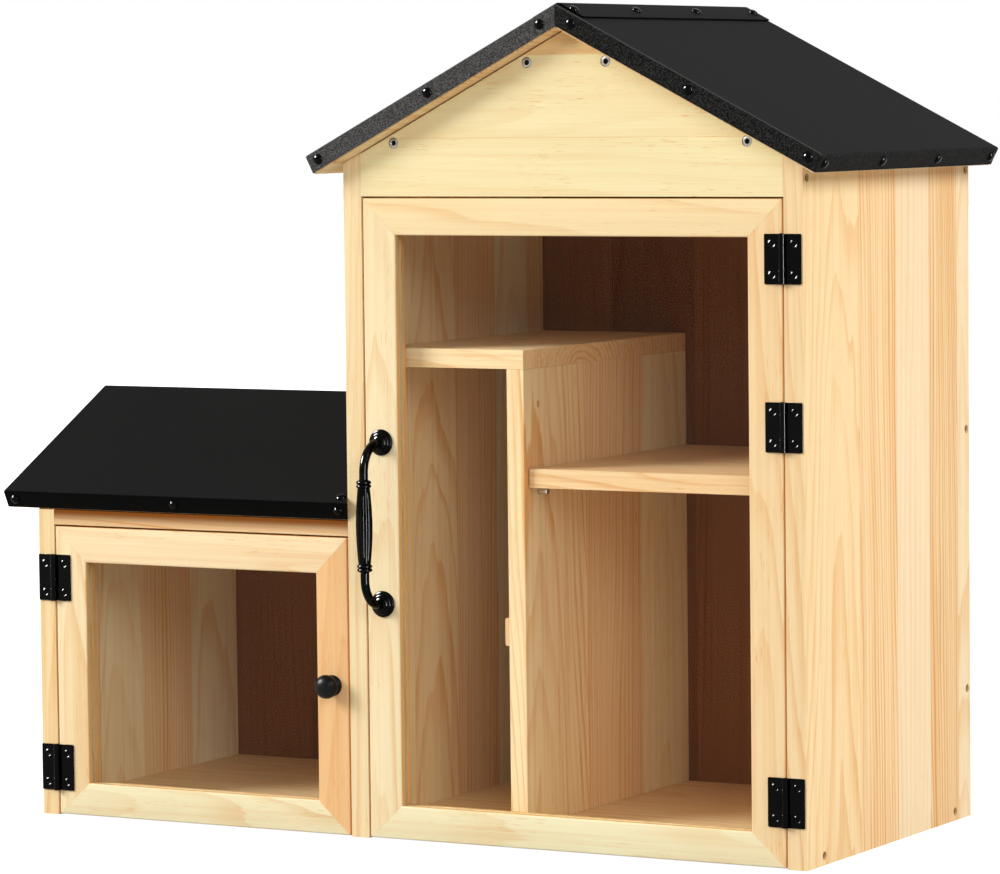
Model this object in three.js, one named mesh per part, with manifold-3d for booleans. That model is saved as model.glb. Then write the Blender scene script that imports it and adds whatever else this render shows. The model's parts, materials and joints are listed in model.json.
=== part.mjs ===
import * as THREE from 'three';
import { mergeVertices } from 'three/addons/utils/BufferGeometryUtils.js';
import Module from 'manifold-3d';

// A wooden street book exchange box: a tall main cabinet with a lower cabinet on its left, each with a
// glazed door and a pitched roof of boards under folded sheet metal.
// Millimetres, +Z up, fronts towards -Y. The pieces are placed in a frame whose origin is the main
// cabinet's front lower left corner, and the whole is then moved so that the origin lies under the middle
// of its box.

const wasm = await Module();
wasm.setup();

// Main cabinet
const mainWidth = 400;
const mainDepth = 310;
const mainSideThickness = 16;
const mainOpeningTop = 509.2;
const gableEdgeHeight = 33.4;

// Small cabinet
const smallWidth = 296;
const smallDepth = 290;
const smallSideThickness = 15;
const smallOpeningTop = 240;
const smallHeaderHeight = 12.2;

// Boards inside and at the back
const boardThickness = 15;
const backThickness = 12;
const floorSetback = 1.5;
const dividerSetback = 3;
const dividerLeft = 135.3;
const dividerHeight = 374.3;
const rightShelfSetback = 9;
const rightShelfEndGap = 1;

// Block on the divider
const block = { reach: 3.5, depth: 12, height: 22, corner: 1.7, heightShare: 0.426 };

// Roofs
const roofPitch = THREE.MathUtils.degToRad(27.2);
const sheetThickness = 1;
const sheetFold = 15;
const roofBoardThickness = 15;
const mainEaveOverhang = 25;
const mainFrontOverhang = 17;
const mainRearOverhang = 5;
const smallFoldClearance = 1.1;
const smallEndOverhang = 30;
const capFlange = 24;
const gableSeam = 1;

// Doors
const doorThickness = 15;
const doorRail = 29.5;
const doorBottomRail = 26.5;
const doorGap = 1;
const doorFloorGap = 1;
const paneThickness = 3;
const paneRebate = 6;

// Surface-mounted butt hinges
const hinge = {
  height: 38, width: 30.6, leaf: 1.4, knuckleRadius: 2.6, pinRadius: 1.4, running: 0.1,
  faceGap: 0.1, sideGap: 0.4, knuckleGap: 0.3,
  topKnuckle: 8.4, bottomKnuckle: 10.2, pinHeadRadius: 2, pinHeadHeight: 0.8,
  screwInset: 7.2, screwRadius: 3.2, screwRise: 0.35,
};
const mainHingeShares = [0.91, 0.66, 0.099];
const smallHingeShares = [0.821, 0.162];

// Dome-head sheet screws
const dome = { radius: 4, rise: 2.5, sink: 0.5 };
const rakeScrewRidgeInset = 19;
const roofScrewEdgeInset = 10;
const mainEaveScrewCount = 4;
const rakeScrewCount = 3;
const capScrewCount = 4;
const smallEaveScrewCount = 3;
const smallTopScrew = { fromEnd: 6, fromEave: 9 };

// Socket screws in the gable panel
const socketScrew = {
  headRadius: 3.9, headHeight: 3, socketRadius: 1.7, socketDepth: 1.8,
  shankRadius: 1.9, shankLength: 9, clearance: 0.3, sunk: 0.4,
};
const gableScrewShares = [-0.837, -0.187, 0.187, 0.837];
const gableScrewDrop = 8;

// Counterbores of the side panels' wood screws
const sideBore = { radius: 3.4, depth: 2.5 };
const mainSideRearScrewShares = [0.195, 0.588];
const smallSideRearScrewShares = [0.24, 0.86];
const sideBottomScrewInset = 31.5;
const sideTopScrewDrop = 12;

// Shelf pins and their holes
const shelfPin = { pegRadius: 2.5, pegLength: 8, headRadius: 3, headLength: 8 };
const shelfPinPlay = 0.2;
const shelfPinInset = 42.5;
const shelfPinRow = 278;
const shelfPinPitch = 68;

// Pull handle
const handle = {
  centres: 128, neck: 6, bend: 22, armStraight: 6, tubeRadius: 3.5,
  gripEndRadius: 4.9, gripRadius: 6.7, flutes: 12, fluteDepth: 0.55,
  beadHeight: 3, beadRadius: 6,
  rosetteRadius: 10.4, rosetteRim: 1.6, rosetteStepRadius: 8.2, rosetteRise: 5.4,
  heightShare: 0.494,
};

// Round knob
const knob = {
  baseRadius: 8, baseRise: 2.6, neckRadius: 4.6,
  headRadius: 9.6, headSeat: 9, headWidest: 12.6, reach: 20,
  heightShare: 0.502,
};

// Magnetic catches and strike plates
const latch = {
  width: 13, depth: 22, height: 40, poleWidth: 2, poleGap: 5, poleRise: 0.8, poleHeight: 26,
  strikeWidth: 12, strikeHeight: 32, strikeThickness: 1.2,
};
const catchAboveFloor = 45;

// Clearances
const fit = 0.3;
const overrun = 6;

// Numbers of facets
const roundSides = 20;
const smallRoundSides = 10;

// How far a quarter arc's control points lie from its ends
const quarterArcPullShare = 0.5523;

// Places that several pieces share
const ridgeX = mainWidth / 2;
const smallRidgeY = smallDepth / 2;
const underBoard = sheetThickness + fit + roofBoardThickness;
const doorBackFace = doorThickness;
const floorFront = doorBackFace + floorSetback;
const dividerFront = doorBackFace + dividerSetback;
const rightShelfFront = doorBackFace + rightShelfSetback;
const mainBackFront = mainDepth - backThickness;
const smallBackFront = smallDepth - backThickness;
const smallInnerLeft = smallSideThickness - smallWidth;
const mainInnerRight = mainWidth - mainSideThickness;
const dividerRight = dividerLeft + boardThickness;
const hingeAxisY = -(hinge.knuckleRadius + hinge.faceGap);
const handleReach = handle.neck + handle.bend;
const gripHalf = handle.centres / 2 - handle.bend - handle.armStraight - 2 * handle.beadHeight;
const shelfPinHeights = [shelfPinRow, shelfPinRow + shelfPinPitch];
const smallEaveOverhang = sheetFold * Math.sin(roofPitch) + smallFoldClearance;
const sheetFront = -mainFrontOverhang;
const sheetRear = mainDepth + mainRearOverhang;

// Materials
function finish(color, roughness, metalness) {
  return new THREE.MeshStandardMaterial({ color, roughness, metalness });
}
const pine = finish(0xe9c896, 0.62, 0);
const pineDark = finish(0xdcb27c, 0.66, 0);
const sheetBlack = finish(0x1c1c1e, 0.5, 0.6);
const ironBlack = finish(0x101012, 0.35, 0.8);
const steel = finish(0xb9bcc0, 0.3, 1);
const plasticGrey = finish(0x4a4c50, 0.6, 0);
const acrylic = finish(0xeaf2f2, 0.05, 0);
acrylic.transparent = true;
acrylic.opacity = 0.25;

// Solids from geometries, for joining and cutting
function solid(geometry) {
  const bare = geometry.clone();
  bare.deleteAttribute('normal');
  bare.deleteAttribute('uv');
  const merged = mergeVertices(bare);
  return new wasm.Manifold(new wasm.Mesh({
    numProp: 3,
    vertProperties: merged.attributes.position.array,
    triVerts: new Uint32Array(merged.index.array),
  }));
}

function geometryOf(manifold) {
  const mesh = manifold.getMesh();
  const geometry = new THREE.BufferGeometry();
  geometry.setAttribute('position', new THREE.BufferAttribute(new Float32Array(mesh.vertProperties), 3));
  geometry.setIndex(new THREE.BufferAttribute(new Uint32Array(mesh.triVerts), 1));
  geometry.computeVertexNormals();
  return geometry;
}

function join(...geometries) {
  return geometryOf(geometries.map(solid).reduce((sum, next) => sum.add(next)));
}

function cut(body, ...tools) {
  return geometryOf(tools.map(solid).reduce((rest, tool) => rest.subtract(tool), solid(body)));
}

// Prisms: an outline of points, extruded along one axis
function outline(points) {
  return new THREE.Shape(points.map(([a, b]) => new THREE.Vector2(a, b)));
}

function counterClockwise(points) {
  const area = THREE.ShapeUtils.area(points.map(([a, b]) => new THREE.Vector2(a, b)));
  return area > 0 ? points : [...points].reverse();
}

function prism(points, length) {
  return new THREE.ExtrudeGeometry(outline(counterClockwise(points)), { depth: length, bevelEnabled: false });
}

// Points are (x, z), and the prism runs from y0 to y1
function prismAlongY(points, y0, y1) {
  return prism(points, y1 - y0).rotateX(Math.PI / 2).translate(0, y1, 0);
}

// Points are (y, z), and the prism runs from x0 to x1
function prismAlongX(points, x0, x1) {
  return prism(points, x1 - x0).rotateX(Math.PI / 2).rotateZ(Math.PI / 2).translate(x0, 0, 0);
}

function box(x0, x1, y0, y1, z0, z1) {
  const block = new THREE.BoxGeometry(x1 - x0, y1 - y0, z1 - z0);
  return block.translate((x0 + x1) / 2, (y0 + y1) / 2, (z0 + z1) / 2);
}

// A lathe about +Z: its profile points are (radius, height)
function turned(profile, sides = roundSides) {
  const points = profile.map(([radius, height]) => new THREE.Vector2(radius, height));
  return new THREE.LatheGeometry(points, sides).rotateX(Math.PI / 2);
}

function rod(radius, z0, z1, sides = roundSides) {
  return turned([[0, z0], [radius, z0], [radius, z1], [0, z1]], sides);
}

const upright = new THREE.Vector3(0, 0, 1);
const left = new THREE.Vector3(-1, 0, 0);
const right = new THREE.Vector3(1, 0, 0);
const front = new THREE.Vector3(0, -1, 0);
const rear = new THREE.Vector3(0, 1, 0);

// Turns a geometry made along +Z to point along another direction, then moves it
function aimed(geometry, direction, place) {
  const turn = new THREE.Quaternion().setFromUnitVectors(upright, direction.clone().normalize());
  return geometry.applyQuaternion(turn).translate(place.x, place.y, place.z);
}

const root = new THREE.Group();
const cabinet = new THREE.Group();
root.add(cabinet);

function add(name, geometry, material, parent = cabinet) {
  const mesh = new THREE.Mesh(geometry, material);
  mesh.name = name;
  parent.add(mesh);
  return mesh;
}

// A pitched roof in section: distance from the ridge plane, and depth below the sheet's top face.
// Its seat is a point that it passes, at a distance from the ridge plane and at a depth.
function makeRoof(halfSpan, seat) {
  const tan = Math.tan(roofPitch);
  const sin = Math.sin(roofPitch);
  const cos = Math.cos(roofPitch);
  const ridgeHeight = seat.height + seat.distance * tan + seat.depth / cos;
  return {
    slopeLength: halfSpan / cos,
    heightAt: (distance, depth) => ridgeHeight - Math.abs(distance) * tan - depth / cos,
    // A point down the slope, at a depth square to it, as (distance from the ridge plane, height)
    slopePoint: (along, depth) => [
      along * cos - depth * sin,
      ridgeHeight - along * sin - depth * cos,
    ],
    // Where a plane a little off the ridge plane meets a given depth
    ridgePoint: (offset, depth) => [offset, ridgeHeight - offset * tan - depth / cos],
    outward: [cos, -sin],
    upward: [sin, cos],
  };
}

const mainRoof = makeRoof(mainWidth / 2 + mainEaveOverhang, {
  height: mainOpeningTop + gableEdgeHeight,
  distance: mainInnerRight - ridgeX,
  depth: underBoard + gableSeam,
});
const smallRoof = makeRoof(smallDepth / 2 + smallEaveOverhang, {
  height: smallOpeningTop + smallHeaderHeight,
  distance: smallRidgeY,
  depth: underBoard + fit,
});

function domeHead() {
  const arcSteps = 2;
  const profile = [[0, -dome.sink], [dome.radius, -dome.sink]];
  for (let step = 0; step < arcSteps; step += 1) {
    const angle = (step / arcSteps) * (Math.PI / 2);
    profile.push([dome.radius * Math.cos(angle), dome.rise * Math.sin(angle)]);
  }
  profile.push([0, dome.rise]);
  return turned(profile, smallRoundSides);
}

function evenly(count, first, last) {
  const step = (last - first) / (count - 1);
  return Array.from({ length: count }, (_, index) => first + step * index);
}

// Cabinet sides, with counterbores for the wood screws in their outer faces
function sideBores(faceX, outward, places) {
  return places.map(([y, z]) => {
    const bore = rod(sideBore.radius, -sideBore.depth, overrun, smallRoundSides);
    return aimed(bore, outward, new THREE.Vector3(faceX, y, z));
  });
}

function mainSideScrewPlaces() {
  const rearLine = mainDepth - backThickness / 2;
  const floorLine = boardThickness / 2;
  const sideTop = mainRoof.heightAt(mainWidth / 2, underBoard);
  const topLine = sideTop - sideTopScrewDrop;
  return [
    ...mainSideRearScrewShares.map((share) => [rearLine, share * sideTop]),
    [rearLine, topLine],
    [sideBottomScrewInset, floorLine],
    [mainDepth - sideBottomScrewInset, floorLine],
    [boardThickness / 2, topLine],
  ];
}

function mainSideOutline(outerX, innerX) {
  const top = (x) => mainRoof.heightAt(x - ridgeX, underBoard + fit);
  return [[outerX, 0], [innerX, 0], [innerX, top(innerX)], [outerX, top(outerX)]];
}

function pinHoles(faceX, inward) {
  const radius = shelfPin.pegRadius + shelfPinPlay;
  const depths = [shelfPinInset, mainDepth - shelfPinInset];
  return depths.flatMap((y) => shelfPinHeights.map((z) => {
    const hole = rod(radius, -overrun, shelfPin.pegLength + fit, smallRoundSides);
    return aimed(hole, inward, new THREE.Vector3(faceX, y, z));
  }));
}

function addMainCabinet() {
  const places = mainSideScrewPlaces();
  const leftSide = prismAlongY(mainSideOutline(0, mainSideThickness), 0, mainDepth);
  const leftBores = sideBores(0, left, places);
  add('main_left_side', cut(leftSide, ...leftBores), pine);

  const rightSide = prismAlongY(mainSideOutline(mainWidth, mainInnerRight), 0, mainDepth);
  const rightBores = sideBores(mainWidth, right, places);
  add('main_right_side', cut(rightSide, ...rightBores, ...pinHoles(mainInnerRight, right)), pine);

  const backTop = (x) => mainRoof.heightAt(x - ridgeX, underBoard + fit);
  add('main_back', prismAlongY([
    [mainSideThickness, 0], [mainInnerRight, 0], [mainInnerRight, backTop(mainInnerRight)],
    [ridgeX, backTop(ridgeX)], [mainSideThickness, backTop(mainSideThickness)],
  ], mainBackFront, mainDepth), pineDark);

  const floor = box(mainSideThickness, mainInnerRight, floorFront, mainBackFront, 0, boardThickness);
  add('main_floor', floor, pine);
}

// Gable panel above the main door, with four socket screws
function addGable() {
  const top = (x) => mainRoof.heightAt(x - ridgeX, underBoard + gableSeam);
  const panel = prismAlongY([
    [mainSideThickness, mainOpeningTop],
    [mainInnerRight, mainOpeningTop],
    [mainInnerRight, top(mainInnerRight)],
    [ridgeX, top(ridgeX)],
    [mainSideThickness, top(mainSideThickness)],
  ], 0, boardThickness);

  const boreFloor = socketScrew.headHeight + socketScrew.sunk + socketScrew.clearance;
  const places = gableScrewShares.map((share) => {
    const x = ridgeX + share * (mainInnerRight - ridgeX);
    return new THREE.Vector3(x, 0, top(x) + gableSeam - gableScrewDrop);
  });
  const headBore = socketScrew.headRadius + socketScrew.clearance;
  const shankBore = socketScrew.shankRadius + socketScrew.clearance;
  const bores = places.flatMap((place) => [
    aimed(rod(headBore, -boreFloor, overrun), front, place),
    aimed(rod(shankBore, -boardThickness - overrun, 0, smallRoundSides), front, place),
  ]);
  add('gable_panel', cut(panel, ...bores), pine);

  const headTop = -socketScrew.sunk;
  const headBottom = headTop - socketScrew.headHeight;
  const tip = headBottom - socketScrew.shankLength;
  const socketFloor = headTop - socketScrew.socketDepth;
  places.forEach((place, index) => {
    const screw = turned([
      [0, tip], [socketScrew.shankRadius, tip],
      [socketScrew.shankRadius, headBottom], [socketScrew.headRadius, headBottom],
      [socketScrew.headRadius, headTop], [socketScrew.socketRadius, headTop],
      [socketScrew.socketRadius, socketFloor], [0, socketFloor],
    ]);
    add(`gable_screw_${index + 1}`, join(aimed(screw, front, place)), steel);
  });
}

// Divider, shelves and what they rest on
function addInterior() {
  const divider = box(dividerLeft, dividerRight, dividerFront, mainBackFront, boardThickness, dividerHeight);
  add('main_divider', cut(divider, ...pinHoles(dividerRight, left)), pine);
  const leftShelfTop = dividerHeight + boardThickness;
  add('left_shelf',
    box(mainSideThickness, dividerRight, dividerFront, mainBackFront, dividerHeight, leftShelfTop), pine);

  const shelfLeft = dividerRight + rightShelfEndGap;
  const shelfRight = mainInnerRight - rightShelfEndGap;
  const shelfBottom = shelfPinHeights[0] + shelfPin.headRadius + fit;
  const shelfTop = shelfBottom + boardThickness;
  add('right_shelf',
    box(shelfLeft, shelfRight, rightShelfFront, mainBackFront, shelfBottom, shelfTop), pine);

  const pegs = [
    [dividerRight, left, shelfPinInset], [dividerRight, left, mainDepth - shelfPinInset],
    [mainInnerRight, right, shelfPinInset], [mainInnerRight, right, mainDepth - shelfPinInset],
  ];
  pegs.forEach(([faceX, inward, y], index) => {
    const peg = turned([
      [0, -shelfPin.headLength], [shelfPin.headRadius, -shelfPin.headLength],
      [shelfPin.headRadius, -fit], [shelfPin.pegRadius, -fit],
      [shelfPin.pegRadius, shelfPin.pegLength], [0, shelfPin.pegLength],
    ]);
    const place = new THREE.Vector3(faceX, y, shelfPinHeights[0]);
    add(`shelf_pin_${index + 1}`, aimed(peg, inward, place), steel);
  });

  const centre = boardThickness + block.heightShare * (dividerHeight - boardThickness);
  const low = centre - block.height / 2;
  const high = centre + block.height / 2;
  const outer = dividerLeft - block.reach;
  const rounded = new THREE.Shape();
  rounded.moveTo(dividerLeft, low);
  rounded.lineTo(dividerLeft, high);
  rounded.lineTo(outer + block.corner, high);
  rounded.absarc(outer + block.corner, high - block.corner, block.corner, Math.PI / 2, Math.PI, false);
  rounded.lineTo(outer, low + block.corner);
  rounded.absarc(outer + block.corner, low + block.corner, block.corner, Math.PI, 1.5 * Math.PI, false);
  const slab = new THREE.ExtrudeGeometry(rounded, {
    depth: block.depth, bevelEnabled: false, curveSegments: 4,
  });
  const blockRear = dividerFront + block.depth;
  add('divider_block', slab.rotateX(Math.PI / 2).translate(0, blockRear, 0), pineDark);
}

// Points of a roof section on one side of the main ridge
function mirrored(points, side) {
  return points.map(([distance, z]) => [ridgeX + side * distance, z]);
}

// Main roof: on each slope a board under a sheet folded down over its front, rear and eave, and a cap
// over the ridge
function addMainRoof() {
  const { slopeLength, slopePoint, ridgePoint, outward, upward } = mainRoof;
  const seam = fit / 2;
  const boardTop = sheetThickness + fit;
  const boardEnd = slopeLength - boardTop;
  const firstScrewY = sheetFront + roofScrewEdgeInset;
  const lastScrewY = sheetRear - roofScrewEdgeInset;
  [['left', -1], ['right', 1]].forEach(([name, side]) => {
    const board = [
      ridgePoint(seam, boardTop), slopePoint(boardEnd, boardTop),
      slopePoint(boardEnd, underBoard), ridgePoint(seam, underBoard),
    ];
    add(`main_roof_board_${name}`,
      prismAlongY(mirrored(board, side), sheetFront + boardTop, sheetRear - boardTop), pineDark);

    const shell = [
      ridgePoint(seam, 0), slopePoint(slopeLength, 0),
      slopePoint(slopeLength, sheetFold), ridgePoint(seam, sheetFold),
    ];
    const foldInside = slopeLength - sheetThickness;
    const hollow = [
      ridgePoint(-overrun, sheetThickness), slopePoint(foldInside, sheetThickness),
      slopePoint(foldInside, sheetFold + overrun), ridgePoint(-overrun, sheetFold + overrun),
    ];
    const tray = cut(prismAlongY(mirrored(shell, side), sheetFront, sheetRear),
      prismAlongY(mirrored(hollow, side), sheetFront + sheetThickness, sheetRear - sheetThickness));

    const bandPlace = (along, y) => {
      const [distance, z] = slopePoint(along, sheetFold / 2);
      return new THREE.Vector3(ridgeX + side * distance, y, z);
    };
    const eaveWay = new THREE.Vector3(side * outward[0], 0, outward[1]);
    const rakePlaces = evenly(rakeScrewCount, rakeScrewRidgeInset, slopeLength - roofScrewEdgeInset);
    const heads = [
      ...rakePlaces.flatMap((along) => [
        aimed(domeHead(), front, bandPlace(along, sheetFront)),
        aimed(domeHead(), rear, bandPlace(along, sheetRear)),
      ]),
      ...evenly(mainEaveScrewCount, firstScrewY, lastScrewY).map((y) => (
        aimed(domeHead(), eaveWay, bandPlace(slopeLength, y))
      )),
    ];
    add(`main_roof_sheet_${name}`, join(tray, ...heads), sheetBlack);
  });

  const capUnder = -fit;
  const capTop = -fit - sheetThickness;
  const lowEdge = slopePoint(capFlange, capUnder);
  const highEdge = slopePoint(capFlange, capTop);
  const section = [
    ...mirrored([lowEdge, highEdge, ridgePoint(0, capTop)], 1),
    ...mirrored([highEdge, lowEdge, ridgePoint(0, capUnder)], -1),
  ];
  const capHeads = [-1, 1].flatMap((side) => (
    evenly(capScrewCount, firstScrewY, lastScrewY).map((y) => {
      const [distance, z] = slopePoint(capFlange / 2, capTop);
      const up = new THREE.Vector3(side * upward[0], 0, upward[1]);
      return aimed(domeHead(), up, new THREE.Vector3(ridgeX + side * distance, y, z));
    })
  ));
  add('ridge_cap', join(prismAlongY(section, sheetFront, sheetRear), ...capHeads), sheetBlack);
}

// Small cabinet: it stands against the main cabinet's left side, which closes it on the right
function smallSlopeTop(y) {
  return smallRoof.heightAt(y - smallRidgeY, underBoard + fit);
}

function addSmallCabinet() {
  const frontTop = smallSlopeTop(0);
  const sideShape = [
    [0, 0], [smallDepth, 0], [smallDepth, smallSlopeTop(smallDepth)],
    [smallRidgeY, smallSlopeTop(smallRidgeY)], [0, frontTop],
  ];
  const rearLine = smallDepth - backThickness / 2;
  const floorLine = boardThickness / 2;
  const screwPlaces = [
    ...smallSideRearScrewShares.map((share) => [rearLine, share * frontTop]),
    [sideBottomScrewInset, floorLine],
    [smallDepth - sideBottomScrewInset, floorLine],
  ];
  const side = prismAlongX(sideShape, -smallWidth, smallInnerLeft);
  add('small_left_side', cut(side, ...sideBores(-smallWidth, left, screwPlaces)), pine);

  add('small_back', prismAlongX([
    [smallBackFront, 0], [smallDepth, 0], [smallDepth, smallSlopeTop(smallDepth)],
    [smallBackFront, smallSlopeTop(smallBackFront)],
  ], smallInnerLeft, 0), pineDark);

  add('small_floor', box(smallInnerLeft, 0, floorFront, smallBackFront, 0, boardThickness), pine);

  add('small_header', prismAlongX([
    [0, smallOpeningTop], [boardThickness, smallOpeningTop],
    [boardThickness, smallSlopeTop(boardThickness)], [0, frontTop],
  ], smallInnerLeft, 0), pine);
}

// Small roof: two boards under one sheet, bent over the ridge and folded down at the front, rear and left end
function addSmallRoof() {
  const { slopeLength, slopePoint, ridgePoint, outward, upward } = smallRoof;
  const seam = fit / 2;
  const endLeft = -smallWidth - smallEndOverhang;
  const endRight = -fit;
  const boardTop = sheetThickness + fit;
  const boardEnd = slopeLength - boardTop;
  const facing = (points, side) => points.map(([distance, z]) => [smallRidgeY + side * distance, z]);
  [['front', -1], ['back', 1]].forEach(([name, side]) => {
    const board = facing([
      ridgePoint(seam, boardTop), slopePoint(boardEnd, boardTop),
      slopePoint(boardEnd, underBoard), ridgePoint(seam, underBoard),
    ], side);
    add(`small_roof_board_${name}`, prismAlongX(board, endLeft + boardTop, endRight), pineDark);
  });

  const bothSlopes = (depth, length, bottom) => {
    const high = slopePoint(length, depth);
    const low = slopePoint(length, bottom);
    return [
      ...facing([low, high], -1),
      ...facing([ridgePoint(0, depth), high, low, ridgePoint(0, bottom)], 1),
    ];
  };
  const shell = prismAlongX(bothSlopes(0, slopeLength, sheetFold), endLeft, endRight);
  const hollow = prismAlongX(
    bothSlopes(sheetThickness, slopeLength - sheetThickness, sheetFold + overrun),
    endLeft + sheetThickness, endRight + overrun);

  const lastScrewX = endRight - smallTopScrew.fromEnd;
  const eavePlaces = evenly(smallEaveScrewCount, endLeft + roofScrewEdgeInset, lastScrewX);
  const endPlaces = evenly(rakeScrewCount, rakeScrewRidgeInset, slopeLength - roofScrewEdgeInset);
  const heads = [-1, 1].flatMap((side) => {
    const eaveWay = new THREE.Vector3(0, side * outward[0], outward[1]);
    const [eaveY, eaveZ] = facing([slopePoint(slopeLength, sheetFold / 2)], side)[0];
    const eaveHeads = eavePlaces.map((x) => (
      aimed(domeHead(), eaveWay, new THREE.Vector3(x, eaveY, eaveZ))
    ));
    const endHeads = endPlaces.map((along) => {
      const [y, z] = facing([slopePoint(along, sheetFold / 2)], side)[0];
      return aimed(domeHead(), left, new THREE.Vector3(endLeft, y, z));
    });
    const up = new THREE.Vector3(0, side * upward[0], upward[1]);
    const [topY, topZ] = facing([slopePoint(slopeLength - smallTopScrew.fromEave, 0)], side)[0];
    const topHead = aimed(domeHead(), up, new THREE.Vector3(lastScrewX, topY, topZ));
    return [...eaveHeads, ...endHeads, topHead];
  });
  add('small_roof_sheet', join(cut(shell, hollow), ...heads), sheetBlack);
}

// Door: a mitred frame of two stiles and two rails, grooved round the pane
function addDoorFrame(prefix, group, x0, x1, z0, z1) {
  const inset = fit / Math.SQRT2;
  const inLeft = x0 + doorRail;
  const inRight = x1 - doorRail;
  const low = z0 + doorBottomRail;
  const high = z1 - doorRail;
  const paneFront = (doorThickness - paneThickness) / 2;
  const paneRear = paneFront + paneThickness;
  const grooveDepth = paneRebate + fit;
  const groove = box(inLeft - grooveDepth, inRight + grooveDepth, paneFront - fit, paneRear + fit,
    low - grooveDepth, high + grooveDepth);
  const members = {
    stile_left: [[x0, z0 + inset], [inLeft, low + inset], [inLeft, high - inset], [x0, z1 - inset]],
    stile_right: [[x1, z0 + inset], [inRight, low + inset], [inRight, high - inset], [x1, z1 - inset]],
    rail_top: [[x0 + inset, z1], [inLeft + inset, high], [inRight - inset, high], [x1 - inset, z1]],
    rail_bottom: [[x0 + inset, z0], [inLeft + inset, low], [inRight - inset, low], [x1 - inset, z0]],
  };
  Object.entries(members).forEach(([name, points]) => {
    add(`${prefix}_door_${name}`, cut(prismAlongY(points, 0, doorThickness), groove), pine, group);
  });
  const pane = box(inLeft - paneRebate, inRight + paneRebate, paneFront, paneRear,
    low - paneRebate, high + paneRebate);
  add(`${prefix}_door_pane`, pane, acrylic, group);
}

// Butt hinge: its pin lies along the local z axis, and side says which way the leaf reaches in x
function hingeLeaf(side, knuckles) {
  const halfHeight = hinge.height / 2;
  const reach = hinge.width / 2;
  const plateNear = hinge.knuckleRadius + hinge.sideGap;
  const faceY = -hingeAxisY;
  const span = (a, b) => [Math.min(side * a, side * b), Math.max(side * a, side * b)];
  const plate = box(...span(plateNear, reach), faceY - hinge.leaf, faceY, -halfHeight, halfHeight);
  const tongues = knuckles.map(([low, high]) => (
    box(...span(0, plateNear + hinge.sideGap), faceY - hinge.leaf, faceY, low, high)
  ));
  const barrels = knuckles.map(([low, high]) => rod(hinge.knuckleRadius, low, high));
  const screwX = side * (plateNear + reach) / 2;
  const screws = [-1, 1].map((way) => {
    const top = hinge.screwRise;
    const head = turned([
      [0, -hinge.leaf / 2], [hinge.screwRadius, -hinge.leaf / 2], [hinge.screwRadius, 0],
      [hinge.screwRadius - top, top], [0, top],
    ], smallRoundSides);
    const place = new THREE.Vector3(screwX, faceY - hinge.leaf, way * (halfHeight - hinge.screwInset));
    return aimed(head, front, place);
  });
  const bore = rod(hinge.pinRadius + hinge.running, -hinge.height, hinge.height);
  return cut(join(plate, ...tongues, ...barrels, ...screws), bore);
}

function addHinges(prefix, doorGroup, heights, axisX, doorSide) {
  const halfHeight = hinge.height / 2;
  const lowJoint = -halfHeight + hinge.bottomKnuckle;
  const highJoint = halfHeight - hinge.topKnuckle;
  const frameKnuckles = [[-halfHeight, lowJoint], [highJoint, halfHeight]];
  const doorKnuckles = [[lowJoint + hinge.knuckleGap, highJoint - hinge.knuckleGap]];
  heights.forEach((z, index) => {
    const number = index + 1;
    const place = new THREE.Vector3(axisX, hingeAxisY, z);
    const frameLeaf = hingeLeaf(-doorSide, frameKnuckles);
    add(`${prefix}_hinge_frame_leaf_${number}`, frameLeaf, ironBlack).position.copy(place);
    const doorLeaf = hingeLeaf(doorSide, doorKnuckles);
    add(`${prefix}_hinge_door_leaf_${number}`, doorLeaf, ironBlack, doorGroup).position.copy(place);
    const headLow = halfHeight + fit;
    const headHigh = headLow + hinge.pinHeadHeight;
    const pin = turned([
      [0, -halfHeight], [hinge.pinRadius, -halfHeight], [hinge.pinRadius, headLow],
      [hinge.pinHeadRadius, headLow], [hinge.pinHeadRadius, headHigh], [0, headHigh],
    ]);
    add(`${prefix}_hinge_pin_${number}`, pin, ironBlack).position.copy(place);
  });
}

// Pull handle: a fluted grip between beads, carried by two bent arms on rosettes. Its local z axis runs
// along the grip.
function flutedGrip() {
  const rings = 8;
  const around = handle.flutes * 4;
  const positions = [];
  for (let ring = 0; ring <= rings; ring += 1) {
    const share = ring / rings;
    const z = -gripHalf + 2 * gripHalf * share;
    const swell = Math.sin(Math.PI * share);
    const radius = handle.gripEndRadius + (handle.gripRadius - handle.gripEndRadius) * swell;
    for (let step = 0; step < around; step += 1) {
      const angle = (step / around) * 2 * Math.PI;
      const flute = handle.fluteDepth * swell * Math.abs(Math.sin((handle.flutes * angle) / 2));
      positions.push((radius - flute) * Math.cos(angle), (radius - flute) * Math.sin(angle), z);
    }
  }
  positions.push(0, 0, -gripHalf, 0, 0, gripHalf);
  const bottomCentre = (rings + 1) * around;
  const topCentre = bottomCentre + 1;
  const index = [];
  for (let step = 0; step < around; step += 1) {
    const next = (step + 1) % around;
    for (let ring = 0; ring < rings; ring += 1) {
      const low = ring * around;
      const high = low + around;
      index.push(low + step, low + next, high + next, low + step, high + next, high + step);
    }
    index.push(bottomCentre, next, step);
    index.push(topCentre, rings * around + step, rings * around + next);
  }
  const geometry = new THREE.BufferGeometry();
  geometry.setAttribute('position', new THREE.Float32BufferAttribute(positions, 3));
  geometry.setIndex(index);
  return geometry;
}

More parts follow.
